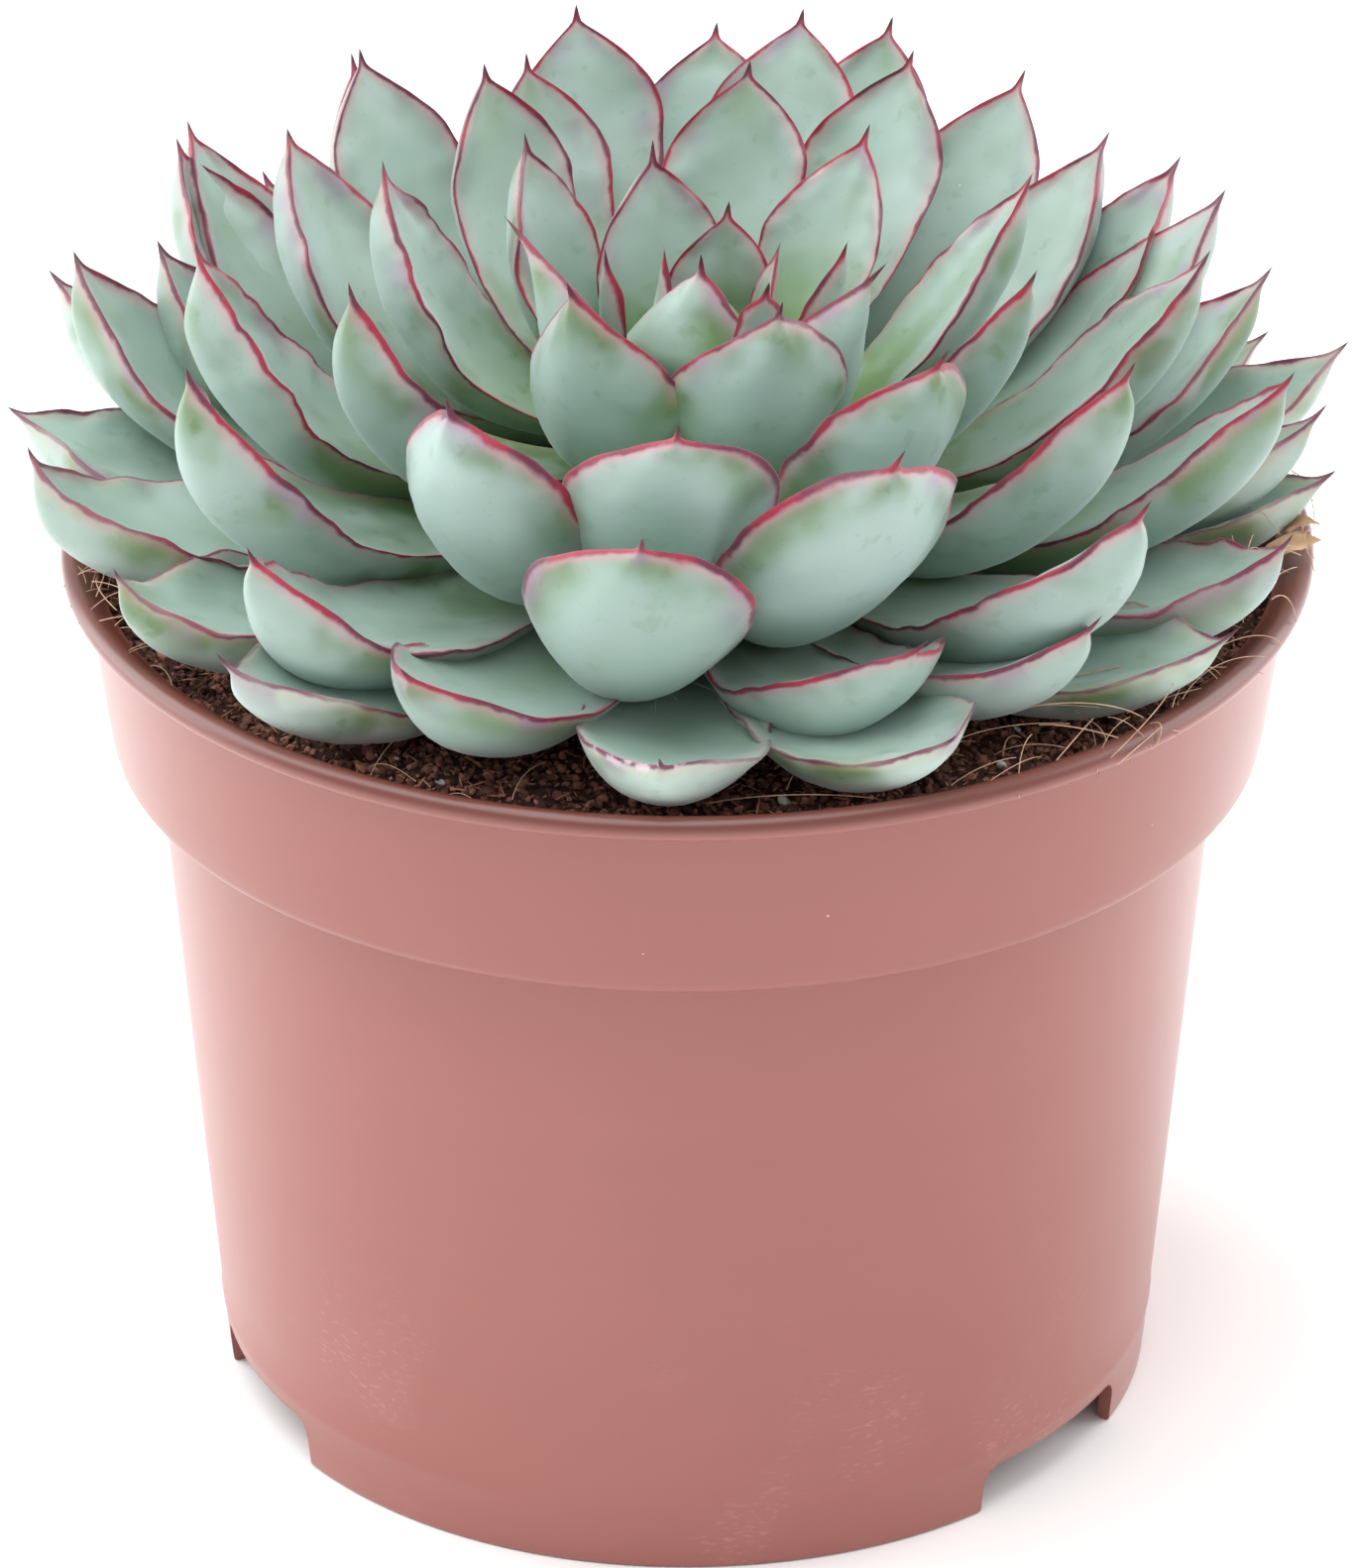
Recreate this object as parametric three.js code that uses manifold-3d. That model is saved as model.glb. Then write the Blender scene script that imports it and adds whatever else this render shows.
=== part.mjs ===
// A potted succulent: a rosette of fleshy red-edged leaves on a short stem, in a nursery pot.
// Units are millimetres, +Z is up, and the origin is the centre of the pot's foot.
import * as THREE from 'three';
import { mergeVertices } from 'three/addons/utils/BufferGeometryUtils.js';
import Module from 'manifold-3d';

const wasm = await Module();
wasm.setup();

// ---- Driving dimensions: pot ------------------------------------------------------------
const POT_HEIGHT = 88.6;
const FOOT_RADIUS = 45.7;
const STEP_Z = 68.1;               // where the body steps out into the collar
const STEP_CHAMFER = 1.5;
const BODY_TOP_RADIUS = 51.4;
const COLLAR_RADIUS = 55.5;        // at the step
const COLLAR_TOP_RADIUS = 58.2;
const LIP_RADIUS = 60;
const LIP_HEIGHT = 2;
const LIP_ROUND = 0.6;
const POT_WALL = 1.4;
const BASE_Z = 5.6;                // underside of the raised base plate
const BASE_THICKNESS = 1.4;
const POT_SEGMENTS = 64;
const CUTTER_SEGMENTS = 4;         // of each rounded corner of a cutter

const NOTCH_AZIMUTHS = [52, 172.5, 293];   // degrees from the front towards +X
const NOTCH_ANGLE = 27;
const NOTCH_HEIGHT = 5.2;
const NOTCH_CORNER = 2;
const DRAIN_RADIUS = 38;           // each notch opens the base plate from here outwards
const DRAIN_ANGLE = 20;
const DRAIN_RIM = 1;               // of base plate left between a drain slot and the wall
const NOTCH_START = 0.75;          // a notch's cutter starts here, as a share of the foot's radius,
const NOTCH_DEPTH = 0.4;           // and is this long, likewise
const OVERCUT = 1;                 // cutters reach this far past what they cut

// ---- Driving dimensions: soil, stem and leaves ------------------------------------------
const CLEARANCE = 0.3;             // between touching pieces
const MERGE_DISTANCE = 1e-4;       // points closer than this are one
const SOIL_EDGE_Z = 84.2;
const SOIL_CENTRE_Z = 85.6;
const SOCKET_DEPTH = 14;           // of the hole in the soil that holds the stem
const SOIL_SEGMENTS = 48;

const STEM_RADIUS = 6;
const STEM_TOP_RADIUS = 3.4;
const STEM_TOP_Z = 106;
const STEM_FOOT = 0.6;             // radius in the socket, as a share of the stem's
const HEART_PROFILE = [[0.8, 0.45], [0.4, 0.8]];  // shares of the top radius and of the heart
const STEM_SEGMENTS = 20;
const HEART_Z = 116;               // tip of the closed heart
const LEAN = 4;                    // sideways lean towards +X at the height below
const LEAN_TOP_Z = 117;

const ROOT_LOW_Z = 90;             // heights of the lowest and the highest leaf roots
const ROOT_HIGH_Z = 99;
const LEAF_THICKNESS = 4.5;
const LEAF_ROOT_THICKNESS = 1.2;
const THICKENING = [0.05, 0.45];   // shares of the length between which the blade fattens
const NOSE_LENGTH = 15;            // the blade thins out this far before its tip
const NOSE_POWER = 2.2;            // how late it does so
const LEAF_ROOT_WIDTH = 3.4;
const LEAF_END = 0.66;             // length of the rounded end, as a share of the leaf's width,
const LONGER_END_BESIDE = 0.4;     // with this more for leaves to the left and right,
const SHORTER_END_IN_FRONT = 0.18; // and this less for the blunt ones at the front
const ROUNDING_POWER = [1.9, 2.7]; // how full the end stays, elsewhere and at the front,
const SLIMMER_BESIDE = 0.25;       // with this less for leaves to the left and right
const HEART_RANKS = [0.8, 0.92];   // between these ranks the blunt ends pass into pointed ones
const LEAF_SPINE = 0.06;           // length of the sharp tip, likewise
const WIDENING_POWER = 1.6;        // how late the blade widens
const BACK_POWER = 0.9;            // how full the leaf's underside is towards its margins
const CUP_ROOT = 12;               // slope of the margins across the blade, in degrees
const CUP_TIP = [36, 26];          // and at the tip, elsewhere and at the front
const SWEEP_POWER = 5;             // how late along the leaf a swept tip turns aside
const SWEEP_ROLL = 1.5;            // degrees of roll for each millimetre that a tip is swept
const ROLLING = [0.5, 1];          // shares of the length between which the leaf rolls
const ROOT_PITCH = [0, 12];        // degrees above level at the root, lowest and highest leaf
const DROOP = 14;                  // degrees that the roots of the middle leaves droop more
const TIP_PITCH = [52, 72];        // degrees above level at the tip
const ROOT_HANDLE = [0.55, 0.25];  // how long each end keeps its pitch, as shares of the span
const TIP_HANDLE = 0.6;
const SAG = 1.5;                   // a blade sinks about this far before it turns up

// One entry for each leaf from the lowest to the highest: azimuth of the tip in degrees from
// the front towards +X, reach of the tip from the stem, height of the tip, greatest width,
// and, where they aren't 0, by how many degrees the tip turns up more than its neighbours'
// and how far it is swept sideways, with + for counterclockwise as seen from above.
const LEAVES = [
  // lowest ring, spread over the soil
  [55, 60, 96, 19, 16, 12], [23, 60, 95.5, 19, 18, 8], [-5, 60, 95.2, 18.5, 16, -2], [-45.5, 60, 97, 18.5, 20, -12],
  [87, 61, 96.5, 16, -14], [-96, 67, 98.3, 16, -26], [-119, 64, 98, 17, -16], [-150, 63, 98, 17, -16],
  [171, 62, 98, 17, -16], [143, 62, 98, 17, -16], [114, 61, 98, 16, -16], [-63, 61, 98.5, 18, 10, -6],
  [98, 62, 104.5, 15, -10], [-106, 67, 107.5, 15, -14],
  // second ring
  [40, 56, 101.2, 19, 12, 6], [63, 61, 102, 17, 8, 3], [-28, 58.5, 100.6, 20, 8, -9],
  [22, 53, 102, 19, 16, 8], [-80, 65, 103, 18, 6, -3], [-134, 62, 107, 17, -10], [158, 60, 107, 17, -8],
  [-47, 58, 106.5, 19, 14, -7], [98, 53, 113, 14],
  // third ring: the outline of the rosette
  [44, 56, 111.5, 18, 12, 4], [71, 56, 114, 16], [-8, 56, 115, 21.5, 8], [-99, 63, 113.5, 15],
  [148, 56, 116, 15], [-179, 57, 117, 15], [110, 51, 116.5, 15], [-66, 55, 116.5, 18, 6, -3],
  [128, 47, 117.5, 15], [-120, 61, 118, 15], [163, 55, 119.5, 14], [18, 49, 119.5, 21.5, 8, 3],
  [86, 45, 119.5, 15], [-139, 56, 120.5, 15], [-86, 51, 120.5, 16], [-162, 51, 122.5, 16],
  // inner leaves
  [53, 46, 119.5, 17, 6, 2], [-36, 45, 120, 20.5, 8, -4], [172, 48, 122.5, 15], [-7, 44, 120.5, 20, 6],
  [-113, 47, 122.5, 15], [32, 36, 122, 17, 5, 3], [-143, 41, 123, 14], [-65, 40, 122.5, 16],
  [155, 41, 122.5, 15], [59, 32, 123.5, 13], [-104, 35, 123.5, 14], [99, 28, 124, 13],
  [178, 31, 124, 14], [9, 24, 123.5, 18], [-40, 25, 123.5, 19.5, 0, -3], [145, 22, 123, 13],
  [-128, 26, 123, 12], [48, 18, 122.5, 16.5, 0, 5],
];

const POT_COLOR = 0xb87a72;
const SOIL_COLOR = 0x3b2722;
const STEM_COLOR = 0xa9c49a;
const LEAF_COLOR = 0xa8c4b4;

// ---- Helpers ----------------------------------------------------------------------------
const { degToRad: radians, lerp, inverseLerp, smoothstep, clamp } = THREE.MathUtils;
const azimuthDirection = (azimuth) => new THREE.Vector3(Math.sin(azimuth), -Math.cos(azimuth), 0);

function toManifold(geometry) {
  const bare = geometry.clone();
  bare.deleteAttribute('normal');
  bare.deleteAttribute('uv');
  const merged = mergeVertices(bare, MERGE_DISTANCE);
  return new wasm.Manifold(new wasm.Mesh({
    numProp: 3,
    vertProperties: new Float32Array(merged.attributes.position.array),
    triVerts: new Uint32Array(merged.index.array),
  }));
}

function toGeometry(solid) {
  const mesh = solid.getMesh();
  const geometry = new THREE.BufferGeometry();
  geometry.setAttribute('position', new THREE.BufferAttribute(mesh.vertProperties, 3));
  geometry.setIndex(new THREE.BufferAttribute(mesh.triVerts, 1));
  return geometry;
}

// A turned piece about the Z axis, from [radius, height] points.
function turned(points, segments) {
  const profile = points.map(([radius, z]) => new THREE.Vector2(radius, z));
  return new THREE.LatheGeometry(profile, segments).rotateX(Math.PI / 2);
}

// The stem leans: everything on it shifts towards +X with its height above the soil.
function lean(geometry) {
  const position = geometry.attributes.position;
  for (let i = 0; i < position.count; i += 1) {
    const share = (position.getZ(i) - ROOT_LOW_Z) / (LEAN_TOP_Z - ROOT_LOW_Z);
    position.setX(i, position.getX(i) + LEAN * Math.max(0, share));
  }
  return geometry;
}

const group = new THREE.Group();

function addPiece(name, geometry, color, roughness) {
  const material = new THREE.MeshStandardMaterial({ color, roughness, metalness: 0 });
  const mesh = new THREE.Mesh(geometry, material);
  mesh.name = name;
  group.add(mesh);
}

// ---- Pot --------------------------------------------------------------------------------
const bodyRadius = (z) => lerp(FOOT_RADIUS, BODY_TOP_RADIUS, z / STEP_Z);
const collarRadius = (z) => lerp(COLLAR_RADIUS, COLLAR_TOP_RADIUS, (z - STEP_Z) / (POT_HEIGHT - STEP_Z));
const LIP_Z = POT_HEIGHT - LIP_HEIGHT;
const FLOOR_Z = BASE_Z + BASE_THICKNESS;
const INNER_STEP_Z = STEP_Z + POT_WALL;

const potProfile = [
  [0, BASE_Z],
  [bodyRadius(BASE_Z) - POT_WALL, BASE_Z],
  [bodyRadius(0) - POT_WALL, 0],
  [bodyRadius(0), 0],
  [bodyRadius(STEP_Z), STEP_Z],
  [COLLAR_RADIUS - STEP_CHAMFER, STEP_Z],
  [COLLAR_RADIUS, STEP_Z + STEP_CHAMFER],
  [collarRadius(LIP_Z), LIP_Z],
  [LIP_RADIUS, LIP_Z],
  [LIP_RADIUS, POT_HEIGHT - LIP_ROUND],
  [LIP_RADIUS - LIP_ROUND, POT_HEIGHT],
  [collarRadius(POT_HEIGHT) - POT_WALL, POT_HEIGHT],
  [collarRadius(INNER_STEP_Z) - POT_WALL, INNER_STEP_Z],
  [bodyRadius(INNER_STEP_Z) - POT_WALL, INNER_STEP_Z],
  [bodyRadius(FLOOR_Z) - POT_WALL, FLOOR_Z],
  [0, FLOOR_Z],
];

// A radial tunnel of the notch's outline: a round-topped gate, wider than the pot's wall.
function notchCutter(azimuth) {
  const halfWidth = FOOT_RADIUS * Math.sin(radians(NOTCH_ANGLE / 2));
  const below = -2 * OVERCUT;
  const gate = new THREE.Shape();
  gate.moveTo(-halfWidth, below);
  gate.lineTo(halfWidth, below);
  gate.lineTo(halfWidth, NOTCH_HEIGHT - NOTCH_CORNER);
  gate.absarc(halfWidth - NOTCH_CORNER, NOTCH_HEIGHT - NOTCH_CORNER, NOTCH_CORNER, 0, Math.PI / 2);
  gate.absarc(NOTCH_CORNER - halfWidth, NOTCH_HEIGHT - NOTCH_CORNER, NOTCH_CORNER, Math.PI / 2, Math.PI);
  gate.closePath();
  const start = FOOT_RADIUS * NOTCH_START;
  const depth = FOOT_RADIUS * NOTCH_DEPTH;
  const cutter = new THREE.ExtrudeGeometry(gate, { depth, bevelEnabled: false, curveSegments: CUTTER_SEGMENTS });
  return cutter.rotateX(Math.PI / 2).translate(0, -start, 0).rotateZ(radians(azimuth));
}

// The drain slot above a notch: part of a ring, cut through the base plate.
function drainCutter(azimuth) {
  const half = radians(DRAIN_ANGLE / 2);
  const outer = bodyRadius(BASE_Z) - POT_WALL - DRAIN_RIM;
  const slot = new THREE.Shape();
  slot.absarc(0, 0, outer, -half, half);
  slot.absarc(0, 0, DRAIN_RADIUS, half, -half, true);
  slot.closePath();
  const cutter = new THREE.ExtrudeGeometry(slot, {
    depth: BASE_THICKNESS + 2 * OVERCUT, bevelEnabled: false, curveSegments: CUTTER_SEGMENTS,
  });
  return cutter.translate(0, 0, BASE_Z - OVERCUT).rotateZ(radians(azimuth - 90));
}

function makePot() {
  let solid = toManifold(turned(potProfile, POT_SEGMENTS));
  for (const azimuth of NOTCH_AZIMUTHS) {
    solid = solid.subtract(toManifold(notchCutter(azimuth))).subtract(toManifold(drainCutter(azimuth)));
  }
  return toGeometry(solid);
}

// ---- Soil: fills the pot, with a socket for the stem's foot ------------------------------
const stemFootRadius = STEM_RADIUS * STEM_FOOT;
const socketFloorZ = SOIL_CENTRE_Z - SOCKET_DEPTH;

function makeSoil() {
  const wall = (radius) => radius - POT_WALL - CLEARANCE;
  const floorZ = FLOOR_Z + CLEARANCE;
  const stepZ = INNER_STEP_Z + CLEARANCE;
  return turned([
    [0, floorZ],
    [wall(bodyRadius(floorZ)), floorZ],
    [wall(bodyRadius(stepZ)), stepZ],
    [wall(collarRadius(stepZ)), stepZ],
    [wall(collarRadius(SOIL_EDGE_Z)), SOIL_EDGE_Z],
    [STEM_RADIUS + CLEARANCE, SOIL_CENTRE_Z],
    [stemFootRadius + CLEARANCE, socketFloorZ],
    [0, socketFloorZ],
  ], SOIL_SEGMENTS);
}

// ---- Stem with the closed heart on top ---------------------------------------------------
const stemRadius = (z) => lerp(STEM_RADIUS, STEM_TOP_RADIUS, smoothstep(z, SOIL_CENTRE_Z, STEM_TOP_Z));

function makeStem() {
  const heartZ = (share) => lerp(STEM_TOP_Z, HEART_Z, share);
  return lean(turned([
    [0, socketFloorZ + CLEARANCE],
    [stemFootRadius, socketFloorZ + CLEARANCE],
    [STEM_RADIUS, SOIL_CENTRE_Z],
    ...[ROOT_LOW_Z, ROOT_HIGH_Z, STEM_TOP_Z].map((z) => [stemRadius(z), z]),
    ...HEART_PROFILE.map(([width, height]) => [STEM_TOP_RADIUS * width, heartZ(height)]),
    [0, HEART_Z],
  ], STEM_SEGMENTS));
}

// ---- Leaves -------------------------------------------------------------------------------
const UPPER_SHARES = [-1, -0.55, 0, 0.55, 1];
const LOWER_SHARES = [0.6, 0, -0.6];
const BLADE_STATIONS = [0, 0.25, 0.5, 0.72];    // shares of the widening blade
const END_STATIONS = [-0.25, 0.3, 0.65, 0.93];  // shares of the rounded end

// Distances from the root, with half the leaf's width at each.
function outline(length, width, azimuth, bluntness) {
  const rootHalf = LEAF_ROOT_WIDTH / 2;
  const beside = Math.sin(radians(azimuth)) ** 2;
  const end = (LEAF_END + LONGER_END_BESIDE * beside - SHORTER_END_IN_FRONT * bluntness) * width;
  const power = lerp(ROUNDING_POWER[0] - SLIMMER_BESIDE * beside, ROUNDING_POWER[1], bluntness);
  const widest = length - end - LEAF_SPINE * width;
  const blade = BLADE_STATIONS.map((share) => ({
    distance: share * widest,
    half: lerp(rootHalf, width / 2, Math.sin(share * Math.PI / 2) ** WIDENING_POWER),
  }));
  const rounded = END_STATIONS.map((share) => ({
    distance: widest + share * end,
    half: width / 2 * (1 - Math.max(share, 0) ** power),
  }));
  return [...blade, ...rounded];
}

// The leaf's midrib, in the upright plane through the stem: out from the root, then up.
function midrib(reach, tipZ, upturn, rank) {
  const rootZ = lerp(ROOT_LOW_Z, ROOT_HIGH_Z, rank);
  const root = new THREE.Vector2(stemRadius(rootZ) + 2 * CLEARANCE, rootZ);
  const tip = new THREE.Vector2(reach, tipZ);
  const chord = root.distanceTo(tip);
  const middle = 4 * rank * (1 - rank);
  const rootPitch = lerp(...ROOT_PITCH, rank) - DROOP * middle;
  const tipPitch = lerp(...TIP_PITCH, rank) + upturn;
  const longestHandle = (tipZ - rootZ + SAG * (1 + middle)) / Math.sin(radians(tipPitch));
  const toward = (point, pitch, distance) => new THREE.Vector2(
    point.x + distance * Math.cos(radians(pitch)),
    point.y + distance * Math.sin(radians(pitch)),
  );
  return new THREE.CubicBezierCurve(
    root,
    toward(root, rootPitch, chord * lerp(...ROOT_HANDLE, rank)),
    toward(tip, tipPitch, -Math.min(chord * TIP_HANDLE, longestHandle)),
    tip,
  );
}

// One leaf. A grown copy is larger all round by the given amount.
function makeLeaf([azimuth, reach, tipZ, width, upturn = 0, sweep = 0], rank, grown = 0) {
  const curve = midrib(reach, tipZ, upturn, rank);
  const front = Math.max(Math.cos(radians(azimuth)), 0) ** 2;
  const toHeart = clamp(inverseLerp(...HEART_RANKS, rank), 0, 1);
  const bluntness = front * (1 - toHeart);
  const outward = azimuthDirection(radians(azimuth) - Math.atan(sweep / reach));
  const sideways = new THREE.Vector3(-outward.y, outward.x, 0);
  const positions = [];
  const place = (across, out, z) => {
    const point = outward.clone().multiplyScalar(out).addScaledVector(sideways, across);
    positions.push(point.x, point.y, z);
  };
  const length = curve.getLength();
  const stations = outline(length, width, azimuth, bluntness);
  stations.forEach(({ distance, half }, i) => {
    const share = distance / length;
    const along = curve.getTangentAt(share);
    const point = curve.getPointAt(share).addScaledVector(along, i === 0 ? -2 * grown : 0);
    const bend = radians(lerp(CUP_ROOT, lerp(...CUP_TIP, front), share));
    const roll = radians(SWEEP_ROLL * sweep * smoothstep(share, ...ROLLING));
    const body = lerp(LEAF_ROOT_THICKNESS, LEAF_THICKNESS, smoothstep(share, ...THICKENING));
    const nose = 1 - Math.max(1 - (length - distance) / NOSE_LENGTH, 0) ** NOSE_POWER;
    const thickness = Math.min(body * nose, half);
    const depth = (across) => thickness * (1 - across * across) ** BACK_POWER;
    const ring = [...UPPER_SHARES.map((across) => [across, grown]),
      ...LOWER_SHARES.map((across) => [across, -grown - depth(across)])];
    for (const [across, offset] of ring) {
      const cupped = half * (1 - Math.cos(bend * across)) / Math.sin(bend) + offset;
      const wide = (half + 2 * grown) * Math.sin(bend * across) / Math.sin(bend);
      const side = wide * Math.cos(roll) - cupped * Math.sin(roll) + sweep * share ** SWEEP_POWER;
      const rise = wide * Math.sin(roll) + cupped * Math.cos(roll);
      place(side, point.x - along.y * rise, point.y + along.x * rise);
    }
  });
  const ringSize = UPPER_SHARES.length + LOWER_SHARES.length;
  const rings = stations.length;
  const tip = positions.length / 3;
  place(sweep, reach + grown, tipZ + grown);
  const index = [];
  for (let i = 0; i < rings; i += 1) {
    for (let j = 0; j < ringSize; j += 1) {
      const k = (j + 1) % ringSize;
      const [a, b] = [i * ringSize + j, i * ringSize + k];
      if (i === rings - 1) index.push(b, a, tip);
      else index.push(b, a, a + ringSize, b, a + ringSize, b + ringSize);
    }
  }
  for (let j = 1; j < ringSize - 1; j += 1) index.push(0, j, j + 1);
  const geometry = new THREE.BufferGeometry();
  geometry.setAttribute('position', new THREE.Float32BufferAttribute(positions, 3));
  geometry.setIndex(index);
  return lean(geometry);
}

const largestBody = (solid) => solid.decompose().reduce((a, b) => (a.volume() > b.volume() ? a : b));

// Where a leaf presses on the one beneath, the lower one yields and keeps clear of it.
function makeRosette() {
  const rankOf = (i) => i / (LEAVES.length - 1);
  const solids = LEAVES.map((leaf, i) => toManifold(makeLeaf(leaf, rankOf(i))));
  LEAVES.forEach((leaf, upper) => {
    const pressing = toManifold(makeLeaf(leaf, rankOf(upper), CLEARANCE));
    for (let lower = 0; lower < upper; lower += 1) {
      if (solids[lower].minGap(solids[upper], CLEARANCE) < CLEARANCE) {
        solids[lower] = largestBody(solids[lower].subtract(pressing));
      }
    }
  });
  return solids.map(toGeometry);
}

// ---- The whole plant in its pot -------------------------------------------------------------
addPiece('pot', makePot(), POT_COLOR, 0.38);
addPiece('soil', makeSoil(), SOIL_COLOR, 0.95);
addPiece('stem', makeStem(), STEM_COLOR, 0.6);
makeRosette().forEach((leaf, i) => {
  addPiece(`leaf_${String(i + 1).padStart(2, '0')}`, leaf, LEAF_COLOR, 0.55);
});

export default group;
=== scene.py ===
# %% [markdown]
# # A potted succulent
# A rosette succulent stands in a thin terracotta-coloured nursery pot. The plant is an exact
# frame already: the pot, its soil, the stem and each leaf have their places. This lesson gives
# them their looks, one piece after another, in metres and in the frame's own axes: +Z is up, and
# the side that the camera sees faces -Y. The first cell loads the frame and keeps its outer box.

# %% Load the frame
import math
import random

import bmesh
import bpy
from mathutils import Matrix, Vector, noise


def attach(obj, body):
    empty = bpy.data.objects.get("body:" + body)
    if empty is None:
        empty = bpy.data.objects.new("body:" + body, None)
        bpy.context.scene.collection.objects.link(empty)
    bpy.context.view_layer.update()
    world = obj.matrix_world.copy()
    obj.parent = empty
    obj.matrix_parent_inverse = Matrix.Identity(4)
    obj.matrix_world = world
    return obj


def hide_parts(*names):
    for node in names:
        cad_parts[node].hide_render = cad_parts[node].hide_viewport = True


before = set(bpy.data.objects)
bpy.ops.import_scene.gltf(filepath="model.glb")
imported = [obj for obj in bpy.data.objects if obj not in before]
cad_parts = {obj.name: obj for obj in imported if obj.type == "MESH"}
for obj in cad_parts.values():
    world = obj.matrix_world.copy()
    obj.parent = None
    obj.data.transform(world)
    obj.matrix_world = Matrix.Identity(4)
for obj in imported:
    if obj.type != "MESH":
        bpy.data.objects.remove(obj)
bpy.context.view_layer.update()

# %% [markdown]
# ## The camera
# The camera looks along +Y and slightly down, from nearly a metre away, so the rosette shows as
# a dome and the pot's lip as a flat oval. The pot isn't quite in the picture's middle, so the
# camera is moved sideways and not turned.

# %% Camera
MM = 0.001
CAMERA_DISTANCE = 0.900
CAMERA_ELEVATION = math.radians(27.8)
AIM = Vector((-0.00099, 0, 0.061))
LENS_MM = 212.5

camera = bpy.data.objects.new("camera", bpy.data.cameras.new("camera"))
bpy.context.scene.collection.objects.link(camera)
back = Vector((0, -math.cos(CAMERA_ELEVATION), math.sin(CAMERA_ELEVATION)))
camera.location = AIM + CAMERA_DISTANCE * back
camera.rotation_euler = back.to_track_quat("Z", "Y").to_euler()
camera.data.lens = LENS_MM
camera.data.sensor_width = 36
bpy.context.scene.camera = camera
print("camera at", tuple(round(v, 3) for v in camera.location))

# %% [markdown]
# ## Formulas as nodes
# Blender writes the rules of shapes and colours as node trees. Wiring hundreds of Math nodes by
# hand is hard to read, so a Knob stands for one value in a tree, and ordinary Python sums of
# knobs add the nodes that work them out.

# %% Knobs: node trees written as formulas
def feed(tree, socket, value):
    if isinstance(value, Knob):
        tree.links.new(value.socket, socket)
    elif value is not None:
        socket.default_value = value


def wire(made, **sockets):
    """Feeds a node's inputs by their names, with _ for each space, and gives the node back."""
    for name, value in sockets.items():
        feed(made.id_data, made.inputs[name.replace("_", " ")], value)
    return made


def result(made, out=0):
    return Knob(made.id_data, made.outputs[out])


def node(tree, kind, *inputs, out=0, **settings):
    """What a new node gives, with its inputs fed in their order."""
    made = tree.nodes.new(kind)
    for name, value in settings.items():
        setattr(made, name, value)
    for socket, value in zip(made.inputs, inputs):
        feed(tree, socket, value)
    return result(made, out)


def does(operation):
    return lambda knob, *others: knob.math(operation, *others)


class Knob:
    """One value in a node tree."""

    def __init__(self, tree, socket):
        self.tree, self.socket = tree, socket

    def math(self, operation, *others):
        return node(self.tree, "ShaderNodeMath", self, *others, operation=operation)

    __add__ = __radd__ = does("ADD")
    __mul__ = __rmul__ = does("MULTIPLY")
    __sub__, __truediv__, __pow__ = does("SUBTRACT"), does("DIVIDE"), does("POWER")
    __abs__, sin, cos, most = does("ABSOLUTE"), does("SINE"), does("COSINE"), does("MAXIMUM")

    def __rsub__(self, other):
        return node(self.tree, "ShaderNodeMath", other, self, operation="SUBTRACT")

    def __neg__(self):
        return self * -1

    def clamp(self):
        return node(self.tree, "ShaderNodeClamp", self, 0.0, 1.0)

    def step(self, low, high, start=0.0, end=1.0):
        """Goes smoothly from start to end while this knob goes from low to high."""
        return node(self.tree, "ShaderNodeMapRange", self, low, high, start, end,
                    interpolation_type="SMOOTHSTEP")


def vector(tree, x, y, z):
    return node(tree, "ShaderNodeCombineXYZ", x, y, z)


def parts(knob):
    split = node(knob.tree, "ShaderNodeSeparateXYZ", knob).socket.node
    return [result(split, i) for i in range(3)]


def noise_at(tree, where, scale, detail=2.0, rough=0.5):
    """Smooth noise from 0 to 1, with about scale bumps to one unit of where."""
    return result(wire(tree.nodes.new("ShaderNodeTexNoise"), Vector=where, Scale=scale,
                       Detail=detail, Roughness=rough))


def mix(factor, a, b):
    """Colour a where factor is 0, colour b where it is 1."""
    made = factor.tree.nodes.new("ShaderNodeMix")
    made.data_type = "RGBA"
    for socket, value in ((0, factor), (6, a), (7, b)):
        feed(factor.tree, made.inputs[socket], value)
    return result(made, 2)


def moved(tree, geometry, offset):
    return node(tree, "GeometryNodeSetPosition", geometry, True, None, offset)


def store(tree, geometry, name, value, domain="POINT"):
    """The geometry with one more named number on each point or copy."""
    made = tree.nodes.new("GeometryNodeStoreNamedAttribute")
    made.data_type, made.domain = "FLOAT", domain
    return result(wire(made, Geometry=geometry, Name=name, Value=value))


def vectors(tree, operation, a, b, out=0):
    return node(tree, "ShaderNodeVectorMath", a, b, operation=operation, out=out)


def shake(tree, where, scale, detail, amount):
    """A noisy direction: up to half the amount along each axis, to either side."""
    made = wire(tree.nodes.new("ShaderNodeTexNoise"), Vector=where, Scale=scale, Detail=detail)
    push = vectors(tree, "SUBTRACT", result(made, "Color"), (0.5, 0.5, 0.5))
    return vectors(tree, "MULTIPLY", push, vector(tree, amount, amount, amount))


def colour(red, green, blue):
    """A screen colour, from 0 to 255, in the linear values that shaders use."""
    def linear(v):
        v /= 255
        return v / 12.92 if v <= 0.04045 else ((v + 0.055) / 1.055) ** 2.4
    return (linear(red), linear(green), linear(blue), 1.0)


print("a knob adds nodes with + - * / ** sin step")

# %% [markdown]
# A node tree for shapes also needs its named inputs, and a way to run it: a modifier on a helper
# object takes the tree and its inputs, and the evaluated result is copied to a plain mesh.

# %% Shape trees: named inputs in, a plain mesh out
KINDS = {float: "NodeSocketFloat", int: "NodeSocketInt", tuple: "NodeSocketVector",
         "object": "NodeSocketObject", "material": "NodeSocketMaterial"}


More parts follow.
